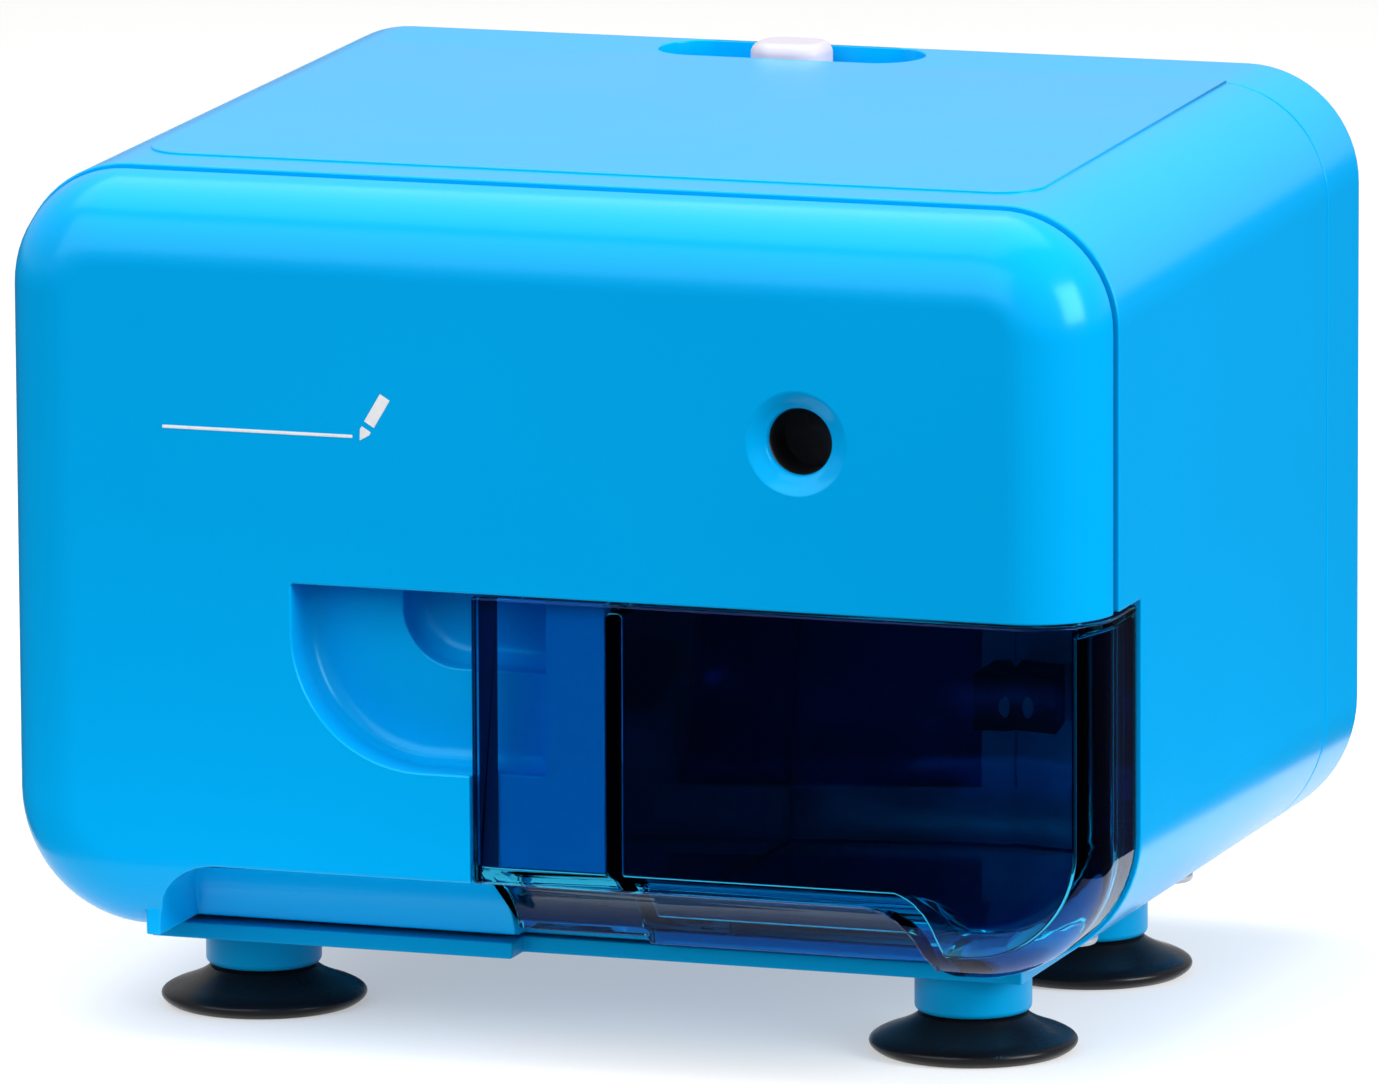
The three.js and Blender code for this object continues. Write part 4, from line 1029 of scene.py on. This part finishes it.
drawer.name = "dust_box_clear"
finish_piece(drawer, "smoke_plastic", "drawer", "dust_box", edge=0.5 * MM, steps=4)

# %% [markdown]
# Looked at through its front, the drawer's left edge shows as a violet band, where the light runs
# along the wall. That band is painted here: the strip of the wall's back face beside that edge
# gets a dark violet colour, as painted shade that stands in for the light in the wall.

# %% Painted violet edge band of the drawer
BAND = 2.9 * MM
SAME_PLANE = 0.05 * MM
# Painted shade: a dark violet for the band's faces, standing in for the light that runs along the
# wall.
painted_edge_band, painted_edge_shader = shader_of("smoke_painted_edge", (0.006, 0.008, 0.075), 0.25)
vary_color(
    painted_edge_band, painted_edge_shader, noise_of(painted_edge_band, 60, 2), (0.005, 0.007, 0.065), (0.008, 0.01, 0.09)
)
bm = bmesh.new()
bm.from_mesh(drawer.data)
bmesh.ops.bisect_plane(
    bm,
    geom=bm.verts[:] + bm.edges[:] + bm.faces[:],
    plane_co=(FACE_LEFT + BAND, 0, 0),
    plane_no=(1, 0, 0),
)
for face in bm.faces:
    middle = face.calc_center_median()
    behind = abs(middle.y - FRONT_Y - DUST_WALL) < SAME_PLANE
    if behind and middle.x < FACE_LEFT + BAND and middle.z > COVE_TOP:
        face.material_index = 1
bm.to_mesh(drawer.data)
bm.free()
drawer.data.materials.append(painted_edge_band)
print("violet faces:", sum(p.material_index for p in drawer.data.polygons))

# %% [markdown]
# ## Base, feet and cups
# The base plate closes the floor, steps back under the drawer so that a finger can reach it, and
# carries four bosses. Each boss holds a suction cup by its stem.

# %% Base plate
BASE_BACK = base_high.y
BASE_TOP = 13.7 * MM
BASE_SIDE = base_high.x
LIP_FRONT = base_low.y
LIP_RIGHT = -9.2 * MM
LIP_REACH = 5 * MM
PLATE_LOW = 11.5 * MM
RAIL_LEFT, RAIL_RIGHT, RAIL_FRONT, RAIL_TOP = 14 * MM, 18 * MM, -34 * MM, 16.7 * MM
centres = {}
for name in ("front_left", "front_right", "rear_left", "rear_right"):
    low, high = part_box(f"suction_cup_{name}")
    centres[name] = ((low.x + high.x) / 2, (low.y + high.y) / 2)
base = box_tool((-BASE_SIDE, LIP_FRONT, PLATE_LOW), (LIP_RIGHT, BASE_BACK, BASE_TOP))
add_to(
    base,
    box_tool(
        (LIP_RIGHT - MM, LIP_FRONT + LIP_REACH, PLATE_LOW), (BASE_SIDE, BASE_BACK, BASE_TOP)
    ),
    box_tool((RAIL_LEFT, RAIL_FRONT, PLATE_LOW), (RAIL_RIGHT, BIN_BACK, RAIL_TOP)),
)
FOOT = 7.9 * MM
FOOT_LOW = 5.5 * MM
FOOT_ROUND = 0.8 * MM
STEM_HOLE, STEM_DEPTH = 3.3 * MM, 5 * MM
SCREW_HOLE = 1.8 * MM
boss = [(0, BASE_TOP), (FOOT, BASE_TOP), (FOOT, FOOT_LOW + FOOT_ROUND)]
boss += arc_points((FOOT - FOOT_ROUND, FOOT_LOW + FOOT_ROUND), FOOT_ROUND, 0, -90)[1:]
boss += [(STEM_HOLE, FOOT_LOW), (STEM_HOLE, FOOT_LOW + STEM_DEPTH), (0, FOOT_LOW + STEM_DEPTH)]
for x, y in centres.values():
    add_to(base, turned(boss, (x, y, 0), "Z"))
way = [(0, 0), (SCREW_HOLE, 0), (SCREW_HOLE, 30 * MM), (0, 30 * MM)]
for number in SCREWS:
    low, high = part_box(f"base_screw_{number}")
    cut_from(base, turned(way, ((low.x + high.x) / 2, (low.y + high.y) / 2, 0), "Z", 32))
base.name = "base_plate_shell"
# The base plate's darker blue is painted shade on the same blue plastic as the shell.
finish_piece(base, "base_blue", "casing", "base_plate", edge=0.3 * MM, steps=2)

# %% [markdown]
# A suction cup is a soft lens: a thin rim, a dished underside and a domed back that runs up to
# the boss. Its profile is drawn with smooth curves, so that the gloss runs round it without
# facets.

# %% Suction cups
cup = [(0, 2.6 * MM)]
cup += curve_points((1 * MM, 2.55 * MM), (6 * MM, 2.3 * MM), (9.5 * MM, 0.02 * MM))
cup += curve_points((10 * MM, 0), (11.4 * MM, 0), (12.6 * MM, 0), 3)
cup += curve_points((12.8 * MM, 0.04 * MM), (14.05 * MM, 0.7 * MM), (14.05 * MM, 1.3 * MM), 6)
cup += curve_points((14.03 * MM, 1.45 * MM), (13.9 * MM, 1.9 * MM), (13.0 * MM, 2.3 * MM), 5)
cup += curve_points((12.6 * MM, 2.5 * MM), (8.4 * MM, 3.9 * MM), (7.3 * MM, 5.2 * MM), 10)
cup += [(3 * MM, 5.2 * MM), (3 * MM, 10.2 * MM), (0, 10.2 * MM)]
for name, (x, y) in centres.items():
    piece = turned(cup, (x, y, 0), "Z", 96)
    piece.name = f"cup_{name}"
    finish_piece(piece, "cup_rubber", "casing", f"suction_cup_{name}", edge=0)

# %% [markdown]
# ## Knob, guide, grommet and screws
# The knob is a soft pillow: first its upright edges are rounded, then the whole top rim. Its stem
# goes down through the slot's floor to the slide.

# %% Selector knob
KNOB_BOTTOM = SLOT_FLOOR + 0.5 * MM
KNOB_CORNER, KNOB_RIM = 3.7 * MM, 1.6 * MM
STEM_LONG, STEM_WIDE = 2.5 * MM, 1.2 * MM
bm = cube_mesh((knob_low.x, knob_low.y, KNOB_BOTTOM), (knob_high.x, knob_high.y, knob_high.z))
round_edges(bm, edges_along(bm, 2), KNOB_CORNER, 10)
round_edges(bm, edges_at(bm, 2, knob_high.z), KNOB_RIM, 8)
knob = as_object("knob", bm)
add_to(
    knob,
    box_tool(
        (SLOT_X - STEM_LONG, STEM_Y - STEM_WIDE, knob_low.z),
        (SLOT_X + STEM_LONG, STEM_Y + STEM_WIDE, KNOB_BOTTOM + MM),
    ),
)
knob.name = "knob_cap"
finish_piece(knob, "knob_white", "selector", "selector_knob", edge=0.2 * MM)

# %% [markdown]
# Behind the dish a black tube with a flange leads the pencil to the cutter.

# %% Pencil guide
FLANGE = 1.5 * MM
GUIDE_BORE = BORE + 0.05 * MM
GUIDE_WALL = BORE + 1.8 * MM
length = guide_high.y - guide_low.y
tube = [(GUIDE_BORE + 0.3 * MM, 0), (guide_high.x - HOLE_X, 0)]
tube += [(guide_high.x - HOLE_X, FLANGE), (GUIDE_WALL, FLANGE), (GUIDE_WALL, length)]
tube += [(GUIDE_BORE, length), (GUIDE_BORE, 0.3 * MM), (GUIDE_BORE + 0.3 * MM, 0)]
guide = turned(tube, (HOLE_X, guide_low.y, HOLE_Z))
guide.name = "guide_tube"
finish_piece(guide, "black_plastic", "casing", "pencil_guide", edge=0.15 * MM)

# %% [markdown]
# The grommet is a rubber ring that is wider outside the wall, turned like the guide.

# %% Cord grommet
reach = grommet_high.y - grommet_low.y
ring = [(3.4 * MM, 0), (4.5 * MM, 0), (4.5 * MM, reach - 1.1 * MM), (6 * MM, reach - 1.1 * MM)]
ring += arc_points((5.2 * MM, reach - 0.8 * MM), 0.8 * MM, 0, 90)
ring += [(3.5 * MM, reach), (3 * MM, reach - 0.5 * MM), (3 * MM, 0.4 * MM), (3.4 * MM, 0)]
grommet = turned(ring, (grommet_x, grommet_low.y, grommet_z))
grommet.name = "grommet_ring"
finish_piece(grommet, "grommet_rubber", "casing", "cord_grommet", edge=0)

# %% [markdown]
# A screw is a turned head with a soft edge and a shank. The cross in its head is cut by two thin
# bars. The rear screws point along Y and the floor screws hang along Z, with their heads below.

# %% Screws
SHANK = 1.5 * MM
HEAD_HEIGHT = 1.4 * MM
HEAD_EDGE = 0.65 * MM
CROSS_LONG, CROSS_WIDE, CROSS_DEEP = 1.9 * MM, 0.34 * MM, 0.9 * MM


def screw(name, node, axis):
    low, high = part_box(node)
    middle = (low + high) / 2
    head = (high.x - low.x) / 2
    length = high.y - low.y if axis == "Y" else high.z - low.z
    neck = length - HEAD_HEIGHT
    profile = [(0, 0), (SHANK - 0.15 * MM, 0.5 * MM), (SHANK, 1.2 * MM), (SHANK, neck)]
    profile += [(head, neck), (head, neck + HEAD_EDGE)]
    profile += curve_points(
        (head - 0.05 * MM, length - 0.6 * MM), (head - 0.2 * MM, length), (head * 0.45, length), 6
    )
    profile += [(0, length)]
    if axis == "Y":
        foot = Vector((middle.x, low.y, middle.z))
    else:
        foot = Vector((middle.x, middle.y, high.z))
        profile = [(radius, -height) for radius, height in profile]
    piece = turned(profile, foot, axis, 36)
    deep = length - CROSS_DEEP
    for wide, tall in ((CROSS_LONG, CROSS_WIDE), (CROSS_WIDE, CROSS_LONG)):
        if axis == "Y":
            a = foot + Vector((-wide, deep, -tall))
            b = foot + Vector((wide, length + MM, tall))
        else:
            a = foot + Vector((-wide, -tall, -length - MM))
            b = foot + Vector((wide, tall, -deep))
        cut_from(piece, box_tool(a, b))
    piece.name = name
    finish_piece(piece, "zinc_screw", "casing", node, edge=0.08 * MM)


for number in SCREWS:
    screw(f"cover_screw_{number}", f"rear_screw_{number}", "Y")
    screw(f"floor_screw_{number}", f"base_screw_{number}", "Z")

# %% [markdown]
# ## The mechanism
# The gears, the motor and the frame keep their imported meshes. Each takes the finish that its
# material slot names, and a fine bevel in the shader softens the edges without touching the mesh.

# %% Finishes for the mechanism
EDGE_LOOK = 0.25 * MM


def soften_edges(material, radius):
    nodes, links = material.node_tree.nodes, material.node_tree.links
    edge = nodes.new("ShaderNodeBevel")
    edge.samples = 4
    edge.inputs["Radius"].default_value = radius
    bump = next((node for node in nodes if node.type == "BUMP"), None)
    if bump:
        links.new(edge.outputs["Normal"], bump.inputs["Normal"])


for part in frame["record"]["subparts"]:
    cad = frame["nodes"][part["node"]]
    cad.data.materials.clear()
    cad.data.materials.append(finishes[part["material_slot"]])
for name in ("plated_sheet", "cast_carrier", "motor_steel", "gear_plastic", "brass"):
    soften_edges(finishes[name], EDGE_LOOK)
print("finishes given to", len(frame["nodes"]), "packed nodes")
